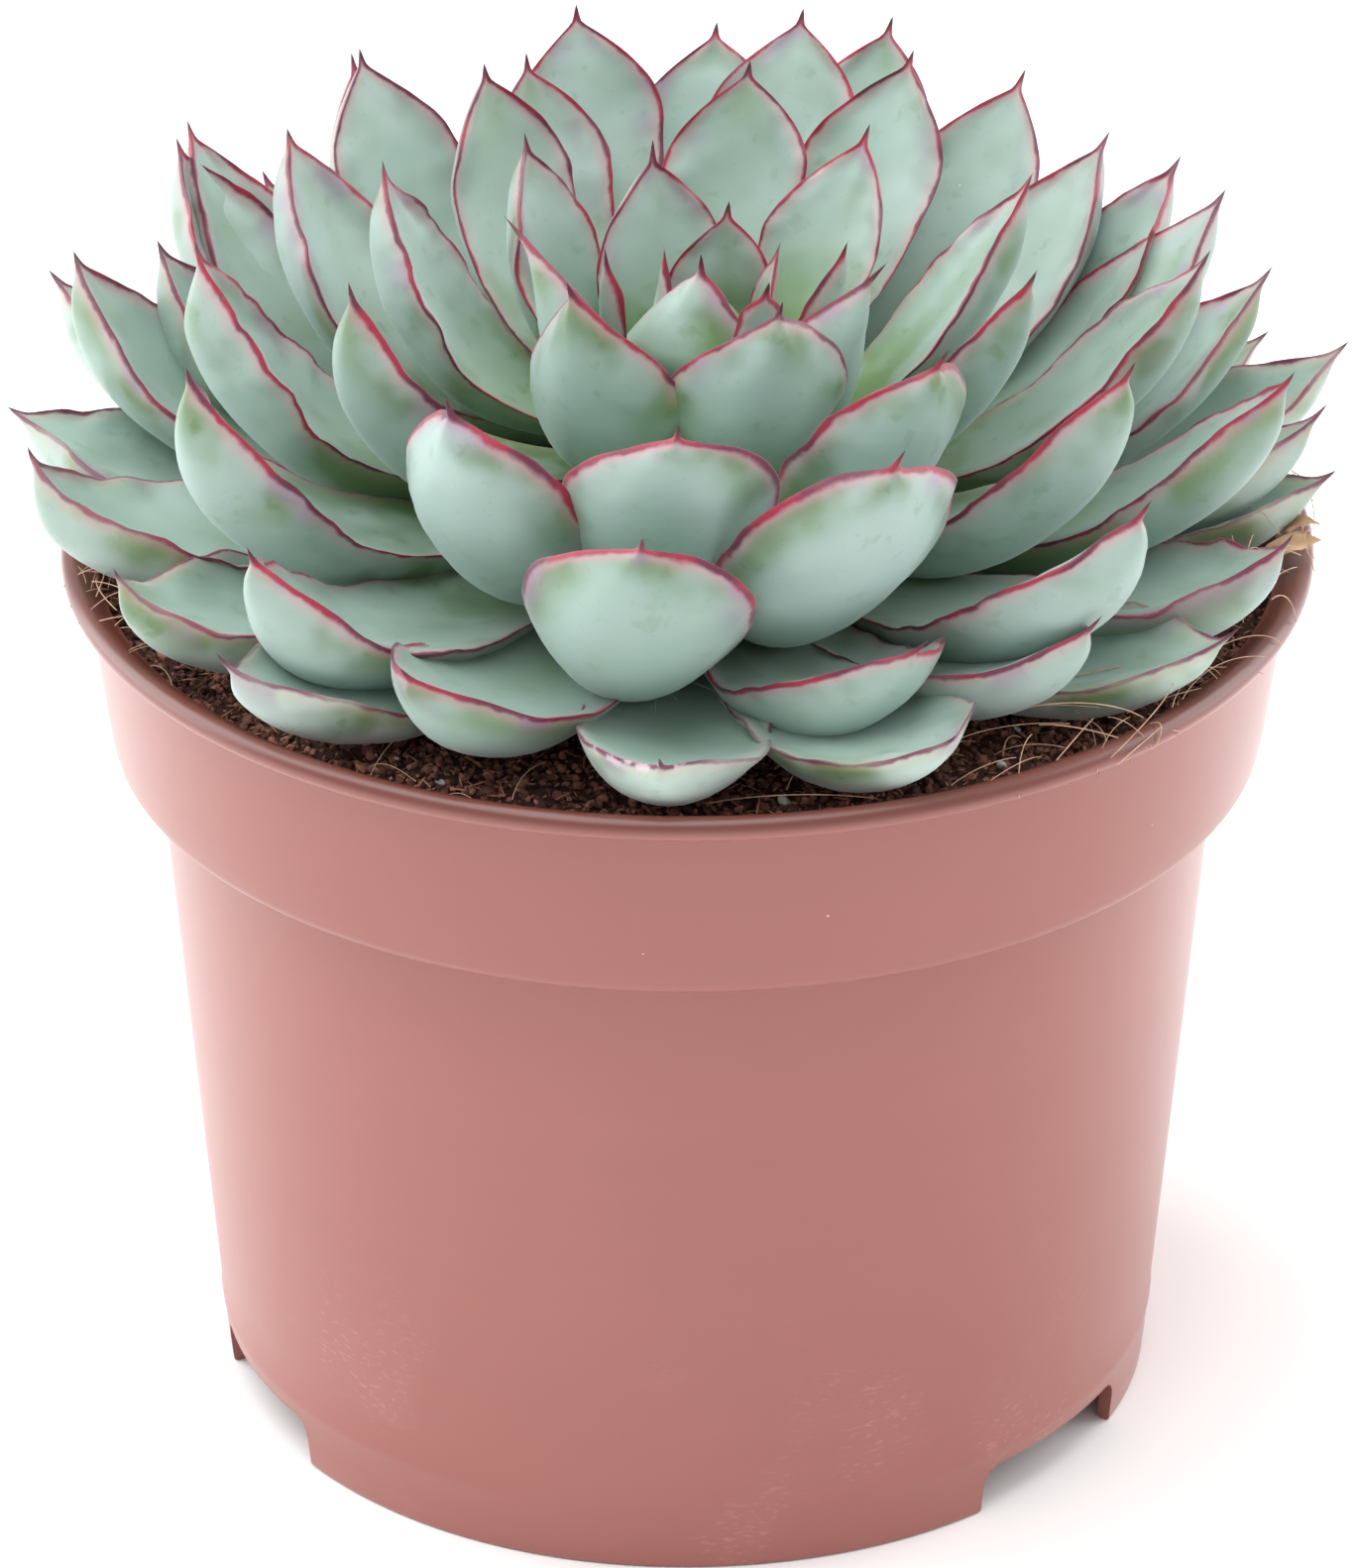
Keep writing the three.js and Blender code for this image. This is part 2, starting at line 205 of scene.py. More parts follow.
def shape_tree(name, inputs):
    """Turns the rule below it into a Geometry Nodes tree. The rule gets the tree and its inputs
    as knobs, and returns a shape; then copies are made real and the material is set."""
    def build(rule):
        tree = bpy.data.node_groups.new(name, "GeometryNodeTree")
        for way in ("INPUT", "OUTPUT"):
            tree.interface.new_socket("Geometry", in_out=way, socket_type="NodeSocketGeometry")
        for label, start in {**inputs, "Material": "material"}.items():
            kind = KINDS[start if isinstance(start, str) else type(start)]
            socket = tree.interface.new_socket(label, in_out="INPUT", socket_type=kind)
            if not isinstance(start, str):
                socket.default_value = start
        entry = tree.nodes.new("NodeGroupInput")
        knobs = {s.name: Knob(tree, s) for s in entry.outputs if s.name}
        real = node(tree, "GeometryNodeRealizeInstances", rule(tree, knobs))
        done = node(tree, "GeometryNodeSetMaterial", real, True, knobs["Material"])
        tree.links.new(done.socket, tree.nodes.new("NodeGroupOutput").inputs[0])
        return tree
    return build


def put(name, data):
    """A new object in the scene, at the origin."""
    made = bpy.data.objects.new(name, data)
    bpy.context.scene.collection.objects.link(made)
    return made


def grow(tree, name, start_mesh=None, **inputs):
    """Runs the tree once with these inputs and gives the result as a new object."""
    helper = put("helper", start_mesh or bpy.data.meshes.new("helper"))
    modifier = helper.modifiers.new("rule", "NODES")
    modifier.node_group = tree
    for item in tree.interface.items_tree:
        if item.in_out == "INPUT" and item.name.replace(" ", "_") in inputs:
            modifier[item.identifier] = inputs[item.name.replace(" ", "_")]
    depsgraph = bpy.context.evaluated_depsgraph_get()
    mesh = bpy.data.meshes.new_from_object(helper.evaluated_get(depsgraph),
                                           preserve_all_data_layers=True, depsgraph=depsgraph)
    bpy.data.objects.remove(helper)
    mesh.name = name
    return put(name, mesh)


def material(name):
    """A new node material: itself, its tree and its main shader."""
    made = bpy.data.materials.new(name)
    made.use_nodes = True
    return made, made.node_tree, made.node_tree.nodes["Principled BSDF"]


def relief(tree, height, strength, distance):
    """A normal that shows this height on the surface; distance in millimetres."""
    return result(wire(tree.nodes.new("ShaderNodeBump"), Strength=strength,
                       Distance=distance * MM, Height=height))


def settle(piece, slot, *nodes):
    """Says what a finished piece rides on and the frame's nodes that it replaces. The slot is not
    used.
    """
    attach(piece, "root")
    if nodes:
        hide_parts(*nodes)


print("shape trees take", sorted(set(KINDS.values())))

# %% [markdown]
# ## The leaf's shape
# Every leaf of the rosette follows one rule, so one Geometry Nodes tree makes them all. A flat
# grid is wrapped round a midrib curve: one way along it runs from root to tip, the other goes
# round the leaf, over the cupped upper face and back under the fleshy belly. The leaf widens
# slowly, ends in a rounded blade, and closes in a short sharp tip. The margins wave a little.
# The tree also writes what the colours need: how far each point is from the red margin, how far
# along the leaf it is and which face it is on. All sizes in this tree are in millimetres.

# %% The leaf rule
STATIONS, AROUND = 64, 48
CROWDING = 1.5  # how much closer the stations are near the tip
LEAN, LEAN_LOW_Z, LEAN_TOP_Z = 4, 90, 117
ROOT_HALF, ROOT_THICKNESS = 1.7, 1.2  # half width and thickness at the stem
WIDENING = 1.6  # power that delays the widening of the blade
SPINE_LENGTH, SPINE_HALF = 1.6, 0.62  # of the sharp tip, as shares of the spine input
SOFTENED = (0.5, 0.8)  # blending of outline and spine, of belly and edge
TIP_CLOSES, ROOT_CLOSES = 0.5, 1.2  # last stretches, where the leaf closes
FATTENING = (0.05, 0.45)  # shares of the length between which the belly grows
NOSE, NOSE_POWER = 15, 2.2  # last stretch, where the belly thins out again
BELLY_POWER, DOMING = 1.8, 0.35  # roundness below, slight swelling above
SWELL, RIPPLE = 1.5, 0.7  # long and short waves of the margins
MERGE_DISTANCE = 0.00006  # the seam's and the poles' points are closer than this


@shape_tree("leaf rule", {
    "Root": (6.0, 0.0, 92.0), "Root handle": (15.0, 0.0, 92.0),
    "Tip handle": (40.0, 0.0, 96.0), "Tip": (60.0, 0.0, 110.0), "Azimuth": 0.0,
    "Width": 16.0, "Thickness": 4.5, "Cup at root": 12.0, "Cup at tip": 30.0, "Roll": 0.0,
    "Sweep": 0.0, "End": 0.6, "Bluntness": 2.0, "Spine": 1.6, "Wave": 0.5, "Seed": 0.0,
    "Tone": 0.5, "Blush": 0.5})
def leaf_tree(t, k):
    grid = node(t, "GeometryNodeMeshGrid", 1.0, 1.0, STATIONS, AROUND)
    x, y, _ = parts(node(t, "GeometryNodeInputPosition"))
    midrib = node(t, "GeometryNodeCurvePrimitiveBezierSegment", 64, k["Root"],
                  k["Root handle"], k["Tip handle"], k["Tip"], mode="POSITION")
    length = node(t, "GeometryNodeCurveLength", midrib)

    # Along the leaf: stations crowd towards the tip, where the outline turns sharply.
    share = 1 - (0.5 - x).most(0.0) ** CROWDING
    along = share * length
    end = k["Width"] * k["End"]
    widest = length - end - k["Spine"]
    widening = ((along / widest).clamp() * (math.pi / 2)).sin() ** WIDENING
    blade = widening * (k["Width"] / 2 - ROOT_HALF) + ROOT_HALF
    rounding = ((along - widest) / end).clamp()
    left = (length - along).most(0.0)
    spine = (left / (k["Spine"] * SPINE_LENGTH)).clamp() * SPINE_HALF
    outline = (blade * (1 - rounding ** k["Bluntness"])).math("SMOOTH_MAX", spine, SOFTENED[0])
    half = outline * (left / TIP_CLOSES).clamp() ** 0.5 * (along / ROOT_CLOSES).clamp() ** 0.5
    body = share.step(*FATTENING) * (k["Thickness"] - ROOT_THICKNESS) + ROOT_THICKNESS
    nose = 1 - (1 - (left / NOSE).clamp()) ** NOSE_POWER
    thick = (body * nose).math("SMOOTH_MIN", half, SOFTENED[1]).most(0.0)

    # Round the leaf: the cosine crowds points at the two margins, where the edge is crisp.
    turn = (y + 0.5) * (2 * math.pi)
    across, height = turn.cos(), turn.sin()
    under = (-height).most(0.0) ** BELLY_POWER
    over = height.most(0.0)
    bend = (share * (k["Cup at tip"] - k["Cup at root"]) + k["Cup at root"]) * (math.pi / 180)
    curl = bend * across
    # Waves: the margins swell up and down, more towards the tip, and each leaf its own way.
    place = vector(t, across * 1.1, along * 0.09, k["Seed"])
    swell = (noise_at(t, place, 1.0, 1.0) - 0.5) * 2
    ripple = (noise_at(t, vector(t, across * 2.0, along * 0.26, k["Seed"]), 1.0, 1.0) - 0.5) * 2
    free = share.step(0.25, 0.8) * (half / 4).clamp()
    wave = (swell * SWELL + ripple * RIPPLE) * k["Wave"] * free * (abs(across) ** 2.0 + 0.15)
    rise = (half * (1 - curl.cos()) / bend.sin() + wave + over * (half / 5).clamp() * DOMING
            - thick * under)
    side = half * curl.sin() / bend.sin()
    roll = k["Roll"] * share.step(0.5, 1.0) * (math.pi / 180)
    rolled_side = side * roll.cos() - rise * roll.sin()
    rolled_rise = side * roll.sin() + rise * roll.cos()

    # Out into space: along the midrib, then turned to its azimuth, then leaning with the stem.
    sample = t.nodes.new("GeometryNodeSampleCurve")
    sample.mode = "LENGTH"
    wire(sample, Curves=midrib, Length=along)
    px, _, pz = parts(result(sample, "Position"))
    tx, _, tz = parts(result(sample, "Tangent"))
    swept = rolled_side + k["Sweep"] * share ** 5.0
    upright = vector(t, px - tz * rolled_rise, swept, pz + tx * rolled_rise)
    angle = (k["Azimuth"] - 90) * (math.pi / 180)
    turned = node(t, "ShaderNodeVectorRotate", upright, (0, 0, 0), (0, 0, 1), angle,
                  rotation_type="Z_AXIS")
    wx, wy, wz = parts(turned)
    lean = ((wz - LEAN_LOW_Z) / (LEAN_TOP_Z - LEAN_LOW_Z)).most(0.0) * LEAN
    final = vectors(t, "MULTIPLY", vector(t, wx + lean, wy, wz), (MM, MM, MM))

    # What the colours need, written on the points before they move.
    inward = half * (1 - abs(across))
    rim = (inward * inward + (thick * under) ** 2.0) ** 0.5
    shape = grid
    for name, value in {"rim": rim, "share": share, "upper": height.step(-0.02, 0.02),
                        "tipward": left, "across": across, "tone": k["Tone"],
                        "blush": k["Blush"]}.items():
        shape = store(t, shape, name, value)
    shape = node(t, "GeometryNodeSetPosition", shape, True, final)
    merged = wire(t.nodes.new("GeometryNodeMergeByDistance"), Geometry=shape,
                  Distance=MERGE_DISTANCE * MM)
    smooth = node(t, "GeometryNodeSetShadeSmooth", result(merged))
    return node(t, "GeometryNodeFlipFaces", smooth)


print("leaf rule:", len(leaf_tree.nodes), "nodes")

# %% [markdown]
# ## The leaf's skin
# A matt blue-white bloom lies over smooth green flesh. The bloom is thick on the blade, thin at
# the root and rubbed away in faint streaks, so the green shows through there. The green at the
# root is also painted shade, and the undersides of low leaves are painted paler, as painted light.
# The margin is a fine dark red line that glows pink and yellowish into the blade, and strongest at
# the tip. All of it stands on the attributes that the leaf rule wrote and on noise in Object
# coordinates.

# %% Leaf skin
BLOOM, BLOOM_PALE = colour(145, 170, 160), colour(174, 195, 190)
# Painted light: a paler colour for the undersides of low leaves.
PAINTED_BELLY_LIGHT = colour(208, 224, 217)
FLESH, FLESH_DEEP = colour(112, 144, 92), colour(68, 102, 48)
RED, WINE, PINK = colour(144, 28, 54), colour(96, 28, 54), colour(198, 126, 146)
MAUVE, STRAW, LILAC, SPIKE = (
    colour(112, 54, 80), colour(184, 190, 150), colour(146, 118, 150), colour(74, 24, 38))
DUST, BARK, SCAR = colour(232, 236, 234), colour(150, 116, 80), colour(214, 196, 206)
SHEEN = colour(222, 236, 240)
CLOUDS, FINE, MOTTLE, PATCHES, RAGGED = 60, 420, 1500, 110, 700  # noise bumps to a metre
RIM_PINK, RIM_STRAW, RIM_LILAC = 1.7, 2.4, 4.2  # how far in each glow reaches, in millimetres
LINE_WIDTH = (0.13, 0.26, 0.14)  # of the red line: least, more near the tip, more blushed
# Healed marks on single leaves: centre in millimetres, radius, colour.
SCABS = (
    ((-44.0, -6.5, 116.1), 0.9, BARK), ((-25.8, -20.9, 114.8), 0.8, BARK),
    ((-5.0, -58.0, 95.0), 6.0, SCAR))


def specks(tree, place, scale, radius, share, seed):
    """1 on small scattered dots: a share of the cells of a Voronoi pattern has one each."""
    cells = wire(tree.nodes.new("ShaderNodeTexVoronoi"), Scale=scale,
                 Vector=vectors(tree, "ADD", place, (seed, seed, seed)))
    chosen = parts(result(cells, "Color"))
    size = (chosen[1] * 0.7 + 0.3) * (radius * scale)
    inside = 1 - (result(cells, "Distance") / size).step(0.7, 1.0)
    return inside * chosen[0].math("LESS_THAN", share)


def attribute(tree, name):
    made = tree.nodes.new("ShaderNodeAttribute")
    made.attribute_name = name
    return result(made, "Fac")


def leaf_skin():
    made, t, shader = material("leaf_skin")
    rim, share, upper, tipward, across, tone, blush = (attribute(t, name) for name in (
        "rim", "share", "upper", "tipward", "across", "tone", "blush"))
    place = node(t, "ShaderNodeTexCoord", out=3)
    broad = noise_at(t, place, CLOUDS, 2)
    fine = noise_at(t, place, FINE, 3)
    mottle = noise_at(t, place, MOTTLE, 2)
    patch = noise_at(t, place, PATCHES, 2).step(0.42, 0.62)
    near = noise_at(t, place, RAGGED, 2)

    bloom_and_belly_light = mix((broad - 0.5) * 1.6 + tone * 0.5 + 0.1, BLOOM, BLOOM_PALE)
    # Painted light: the undersides of low leaves are painted paler, in place of the bounce light
    # from below.
    bloom_and_belly_light = mix((1 - blush) * (1 - upper) * 0.6, bloom_and_belly_light, PAINTED_BELLY_LIGHT)
    green = mix((broad * 1.5 - 0.3).clamp(), FLESH, FLESH_DEEP)
    # The bloom is thin at the root, and in patches near the margins of the underside. The green at
    # the root is also painted shade, for the crevices where the leaves crowd at the stem.
    bare_root_and_shade = (1 - share.step(0.15, 0.75)) * (patch * 0.35 + 0.65)
    bare_edge = (1 - rim.step(0.8, 6.5)) * (1 - upper * 0.6) * (patch * 0.85 + 0.15)
    streak = fine.step(0.60, 0.72) * 0.2
    keel = upper * (1 - abs(across).step(0.05, 0.55)) * (patch * 0.2 + 0.08)
    bare_and_shaded = (bare_root_and_shade + bare_edge + streak + keel).clamp()
    skin = mix(bare_and_shaded, bloom_and_belly_light, green)

    # Near the margin: straw, then pink, then the red line itself.
    ragged = rim + (fine - 0.5) * 0.6 + (near - 0.5) * 0.5
    late = share.step(0.3, 0.85)
    skin = mix((1 - ragged.step(0.4, RIM_STRAW)) * (late * 0.2 + 0.06) * (1 - patch * 0.5),
               skin, STRAW)
    skin = mix((1 - ragged.step(0.3, RIM_PINK)) * (late * 0.45 + 0.1) * (blush * 0.6 + 0.3),
               skin, PINK)
    flush = noise_at(t, place, 150, 1).step(0.54, 0.68)
    skin = mix((1 - rim.step(0.6, RIM_LILAC)) * late * (flush * 0.4 + blush * 0.16), skin, LILAC)
    least, later, blushed = LINE_WIDTH
    width = late * (blush * blush * blushed + later) + least
    red = 1 - (ragged / width).step(0.45, 1.35)
    faint = noise_at(t, place, 85, 1).step(0.36, 0.52, 0.5, 1.0)
    red = red * (faint + (1 - faint) * blush) * share.step(0.12, 0.4, 0.3, 1.0)
    line = mix(blush, MAUVE, mix(noise_at(t, place, 160, 1).step(0.4, 0.6), RED, WINE))
    skin = mix(red, skin, line)
    skin = mix(1 - tipward.step(0.5, 1.7), skin, SPIKE)
    skin = mix(mottle.step(0.66, 0.76) * 0.12, skin, FLESH_DEEP)
    dust = specks(t, place, 260, 0.00013, 0.07, 5.0)
    skin = mix(dust * 0.7, skin, DUST)
    for centre, radius, hue in SCABS:
        away = vectors(t, "DISTANCE", place, Vector(centre) * MM, out=1)
        spot = 1 - (away / (radius * MM) + (near - 0.5) * 0.9).step(0.75, 1.0)
        if hue == SCAR:
            skin = mix(spot * (1 - rim.step(0.2, 1.3)) * near.step(0.45, 0.6) * 0.7, skin, SCAR)
        else:
            skin = mix(spot * 0.85, skin, mix(near.step(0.4, 0.6), BARK, SPIKE))

    crinkle = (1 - rim.step(0.0, 2.2)) * late * noise_at(t, place, 360, 3)
    wire(shader, Base_Color=skin, Roughness=bare_and_shaded * -0.1 + 0.46, Specular_IOR_Level=0.5,
         Sheen_Weight=0.4, Sheen_Roughness=0.4, Sheen_Tint=SHEEN,
         Normal=relief(t, fine * 0.18 + mottle * 0.06 + crinkle * 1.6, 0.3, 0.3))
    return made


skin_material = leaf_skin()
print("leaf skin:", len(skin_material.node_tree.nodes), "nodes")

# %% [markdown]
# ## The rosette
# The leaves are listed from the lowest to the highest, as on the frame: azimuth of the tip from
# the front towards +X, reach of the tip from the stem, its height, the greatest width, how many
# degrees more than its neighbours' the tip turns up, and how far it is swept sideways. Each leaf
# replaces its own node of the frame. The third and the fourth are a little narrower than their
# nodes and turned aside, so that their tips stay under the leaves above. The smallest leaves and
# the crowded heart are only made here.

# %% The list of leaves
LEAVES = [
    # lowest ring, spread over the soil
    (55, 60, 96, 19, 16, 12), (23, 60, 95.5, 19, 18, 8), (-3.2, 60, 95.2, 18, 16, -2),
    (-46.5, 60, 97, 18, 20, -12), (87, 61, 96.5, 16, -14), (-96, 67, 98.3, 16, -26),
    (-119, 64, 98, 17, -16), (-150, 63, 98, 17, -16), (171, 62, 98, 17, -16),
    (143, 62, 98, 17, -16), (114, 61, 98, 16, -16), (-63, 61, 98.5, 18, 10, -6),
    (98, 62, 104.5, 15, -10), (-106, 67, 107.5, 15, -14),
    # second ring
    (40, 56, 101.2, 19, 12, 6), (63, 61, 102, 17, 8, 3), (-28, 58.5, 100.6, 20, 8, -9),
    (22, 53, 102, 19, 16, 8), (-80, 65, 103, 18, 6, -3), (-134, 62, 107, 17, -10),
    (158, 60, 107, 17, -8), (-47, 58, 106.5, 19, 14, -7), (98, 53, 113, 14),
    # third ring: the outline of the rosette
    (44, 56, 111.5, 18, 12, 4), (71, 56, 114, 16), (-8, 56, 115, 21.5, 8), (-99, 63, 113.5, 15),
    (148, 56, 116, 15), (-179, 57, 117, 15), (110, 51, 116.5, 15), (-66, 55, 116.5, 18, 6, -3),
    (128, 47, 117.5, 15), (-120, 61, 118, 15), (163, 55, 119.5, 14), (18, 49, 119.5, 21.5, 8, 3),
    (86, 45, 119.5, 15), (-139, 56, 120.5, 15), (-86, 51, 120.5, 16), (-162, 51, 122.5, 16),
    # inner leaves
    (53, 46, 119.5, 17, 6, 2), (-36, 45, 120, 20.5, 8, -4), (172, 48, 122.5, 15),
    (-7, 44, 120.5, 20, 6), (-113, 47, 122.5, 15), (32, 36, 122, 17, 5, 3), (-143, 41, 123, 14),
    (-65, 40, 122.5, 16), (155, 41, 122.5, 15), (59, 32, 123.5, 13), (-104, 35, 123.5, 14),
    (99, 28, 124, 13), (178, 31, 124, 14), (9, 24, 123.5, 18), (-40, 25, 123.5, 19.5, 0, -3),
    (145, 22, 123, 13), (-128, 26, 123, 12), (48, 18, 122.5, 16.5, 0, 5),
]
# The same for the small leaves, each with its rank: 1 is the rank of the frame's innermost leaf.
SMALL_LEAVES = [
    ((-154, 18.4, 122, 13.5), 1.1), ((-88, 18, 122, 17, 0, -13), 1.05),
    ((-177, 7.8, 119.5, 10), 1.4), ((-34, 5.6, 119.6, 18), 1.5), ((62, 11.8, 121.5, 8), 1.25),
    ((-64, 13.8, 121, 4), 1.25), ((-82, 6.6, 118.8, 4), 1.45), ((10, 16.3, 122, 4), 1.15),
    ((110, 5, 118, 6), 1.6), ((-106, 56.5, 112, 14), 0.35), ((120, 50.8, 116.5, 14), 0.5),
    ((86, 58.8, 104, 13), 0.22), ((-118, 60.8, 117, 14), 0.5), ((-140, 58.2, 119, 14), 0.58),
    ((-153, 44.9, 121, 14), 0.7), ((-162, 51.2, 120.5, 15), 0.6),
]
print(len(LEAVES), "leaves of the frame and", len(SMALL_LEAVES), "small ones")

# %% [markdown]
# A leaf's midrib is a Bezier curve in the upright plane through the stem. Low leaves leave the
# stem level and turn up a little at their tips; high ones stand almost upright. The handles
# follow the same rule as the frame's leaves, so each visible leaf lies where its solid is.

# %% Grow the leaves
STEM_RADIUS, STEM_TOP_RADIUS, STEM_LOW_Z, STEM_TOP_Z = 6, 3.4, 85.6, 106
ROOT_LOW_Z, ROOT_HIGH_Z = 90, 99
ROOT_PITCH, TIP_PITCH, DROOP = (0, 12), (52, 72), 14
ROOT_HANDLE, TIP_HANDLE, SAG, CLEARANCE = (0.55, 0.25), 0.6, 1.5, 0.3
SWEEP_ROLL, ROLL_CHANCE = 1.5, 4  # degrees for each millimetre of sweep, and by chance
BLUNT_RANK, BLUNT_FADE = 0.92, 0.12  # front leaves below this rank have blunt ends
END, END_BESIDE, END_BLUNT = 0.66, 0.4, 0.18  # length of the rounded end, in widths
BLUNTNESS, SLIMMER_BESIDE = (1.9, 2.7), 0.25  # power of the rounded end
THICKEST, THICKNESS_SHARE, CUPS = 4.9, 0.3, (36, 26)
SPINES, WAVES, SEEDS = (1.3, 2.0), (0.6, 1.3), (0, 50)  # ranges of the random draws


def lerp(a, b, share):
    return a + (b - a) * share


def stem_radius(z):
    share = min(max((z - STEM_LOW_Z) / (STEM_TOP_Z - STEM_LOW_Z), 0), 1)
    return lerp(STEM_RADIUS, STEM_TOP_RADIUS, share * share * (3 - 2 * share))


def midrib(reach, tip_z, upturn, rank):
    """The four control points of a leaf's midrib, as (outward, 0, up) in millimetres."""
    root_z = lerp(ROOT_LOW_Z, ROOT_HIGH_Z, rank)
    root = Vector((stem_radius(root_z) + 2 * CLEARANCE, 0, root_z))
    tip = Vector((reach, 0, tip_z))
    chord = (tip - root).length
    middle = max(4 * rank * (1 - rank), 0)
    pitch_root = math.radians(lerp(*ROOT_PITCH, rank) - DROOP * middle)
    pitch_tip = math.radians(lerp(*TIP_PITCH, min(rank, 1.2)) + upturn)
    drop = tip_z - root_z + SAG * (1 + middle)
    reach_back = min(chord * TIP_HANDLE, drop / math.sin(pitch_tip))
    root_handle = chord * lerp(*ROOT_HANDLE, min(rank, 1))
    out = Vector((math.cos(pitch_root), 0, math.sin(pitch_root))) * root_handle
    down = Vector((math.cos(pitch_tip), 0, math.sin(pitch_tip))) * reach_back
    return root, root + out, tip - down, tip


def grow_leaf(name, leaf, rank, draw):
    azimuth, reach, tip_z, width, upturn, sweep = (*leaf, 0, 0)[:6]
    front = max(math.cos(math.radians(azimuth)), 0) ** 2
    beside = math.sin(math.radians(azimuth)) ** 2
    blunt = front * min(max((BLUNT_RANK - rank) / BLUNT_FADE, 0), 1)
    root, root_handle, tip_handle, tip = midrib(reach, tip_z, upturn, rank)
    return grow(leaf_tree, name, Root=root, Root_handle=root_handle, Tip_handle=tip_handle,
                Tip=tip, Azimuth=azimuth - math.degrees(math.atan(sweep / reach)),
                Width=float(width), Thickness=min(THICKEST, width * THICKNESS_SHARE),
                Cup_at_tip=lerp(*CUPS, front),
                Roll=sweep * SWEEP_ROLL + draw.uniform(-ROLL_CHANCE, ROLL_CHANCE),
                Sweep=float(sweep), End=END + END_BESIDE * beside - END_BLUNT * blunt,
                Bluntness=lerp(BLUNTNESS[0] - SLIMMER_BESIDE * beside, BLUNTNESS[1], blunt),
                Spine=draw.uniform(*SPINES), Wave=draw.uniform(*WAVES),
                Seed=draw.uniform(*SEEDS), Tone=draw.random(),
                Blush=min(max(rank * 2.2 - 0.1, 0.0), 1.0) + min(rank * 2, 0.6) * blunt,
                Material=skin_material)


draw = random.Random(7)
blades = []
for i, leaf in enumerate(LEAVES):
    blades.append(grow_leaf(f"blade_{i + 1:02d}", leaf, i / (len(LEAVES) - 1), draw))
    settle(blades[-1], "leaf", f"leaf_{i + 1:02d}")
for i, (leaf, rank) in enumerate(SMALL_LEAVES):
    blades.append(grow_leaf(f"small_blade_{i + 1:02d}", leaf, rank, draw))
    settle(blades[-1], "leaf")
print(len(blades), "leaves,", sum(len(b.data.polygons) for b in blades), "faces")

# %% [markdown]
# ## The heart and the stem
# Under the leaves stands a short pale stem. It is a turned shape with the rings that old leaves
# leave behind, and it ends in a small green dome between the heart's own leaves.

# %% Stem
def finished(shape, name):
    """The mesh of a bmesh, with its normals outward."""
    bmesh.ops.recalc_face_normals(shape, faces=shape.faces)
    mesh = bpy.data.meshes.new(name)
    shape.to_mesh(mesh)
    shape.free()
    return mesh


def lathe(name, profile, segments, wobble=0.0):
    """Turns (radius, height) points in millimetres about the pot's axis. Ends on the axis close."""
    shape = bmesh.new()
    rings = []
    for radius, z in profile:
        if radius == 0:
            rings.append([shape.verts.new((0, 0, z * MM))])
            continue
        ring = []
        for i in range(segments):
            angle = 2 * math.pi * i / segments
            out = Vector((math.cos(angle), math.sin(angle), 0))
            swell = wobble * noise.noise(Vector((out.x * 1.5, out.y * 1.5, z * 0.02)))
            ring.append(shape.verts.new(out * (radius + swell) * MM + Vector((0, 0, z * MM))))
        rings.append(ring)
    pairs = list(zip(rings, rings[1:]))
    if len(rings[0]) > 1 and len(rings[-1]) > 1:
        pairs.append((rings[-1], rings[0]))
    for low, high in pairs:
        for i in range(segments):
            j = (i + 1) % segments
            corners = (low[i % len(low)], low[j % len(low)],
                       high[j % len(high)], high[i % len(high)])
            shape.faces.new(list(dict.fromkeys(corners)))
    for face in shape.faces:
        face.smooth = True
    return finished(shape, name)


FOOT_Z, STEM_FOOT_RADIUS = 72, 3.6  # of the stem, in the soil
RINGS, RINGED_Z, RIDGE = 32, (74, 107), 0.22
DOME = [(2.9, 109), (1.9, 111), (0.8, 112.2), (0, 112.6)]


def ringed_stem():
    profile = [(0, FOOT_Z), (STEM_FOOT_RADIUS, FOOT_Z)]
    for step in range(RINGS + 1):
        z = lerp(*RINGED_Z, step / RINGS)
        wide = stem_radius(z)
        if z < STEM_LOW_Z:
            wide = lerp(STEM_FOOT_RADIUS, STEM_RADIUS, (z - FOOT_Z) / (STEM_LOW_Z - FOOT_Z))
        profile.append((wide + RIDGE * math.cos(step * math.pi), z))
    mesh = lathe("stem", profile + DOME, 40)
    for vertex in mesh.vertices:
        share = (vertex.co.z / MM - LEAN_LOW_Z) / (LEAN_TOP_Z - LEAN_LOW_Z)
        vertex.co.x += LEAN * MM * max(share, 0)
    return mesh


stem = put("leafy_stem", ringed_stem())
settle(stem, "stem", "stem")
stem_material, stem_tree, stem_shader = material("stem_skin")
stem_colour = mix(noise_at(stem_tree, node(stem_tree, "ShaderNodeTexCoord", out=3), 250),
                  colour(112, 140, 96), colour(170, 178, 140))
wire(stem_shader, Base_Color=stem_colour, Roughness=0.6)
stem.data.materials.append(stem_material)

# %% [markdown]
# ## The nursery pot
# The pot is one thin wall of plastic: a slightly conical body, a step, a collar and a small
# round lip. It is made by turning a profile, with the hardly visible unevenness of thin walls.
# The foot has three notches with a drain slot above each. These repeat, so a Geometry Nodes tree
# places one pair of cutters three times and takes them away from the turned wall.

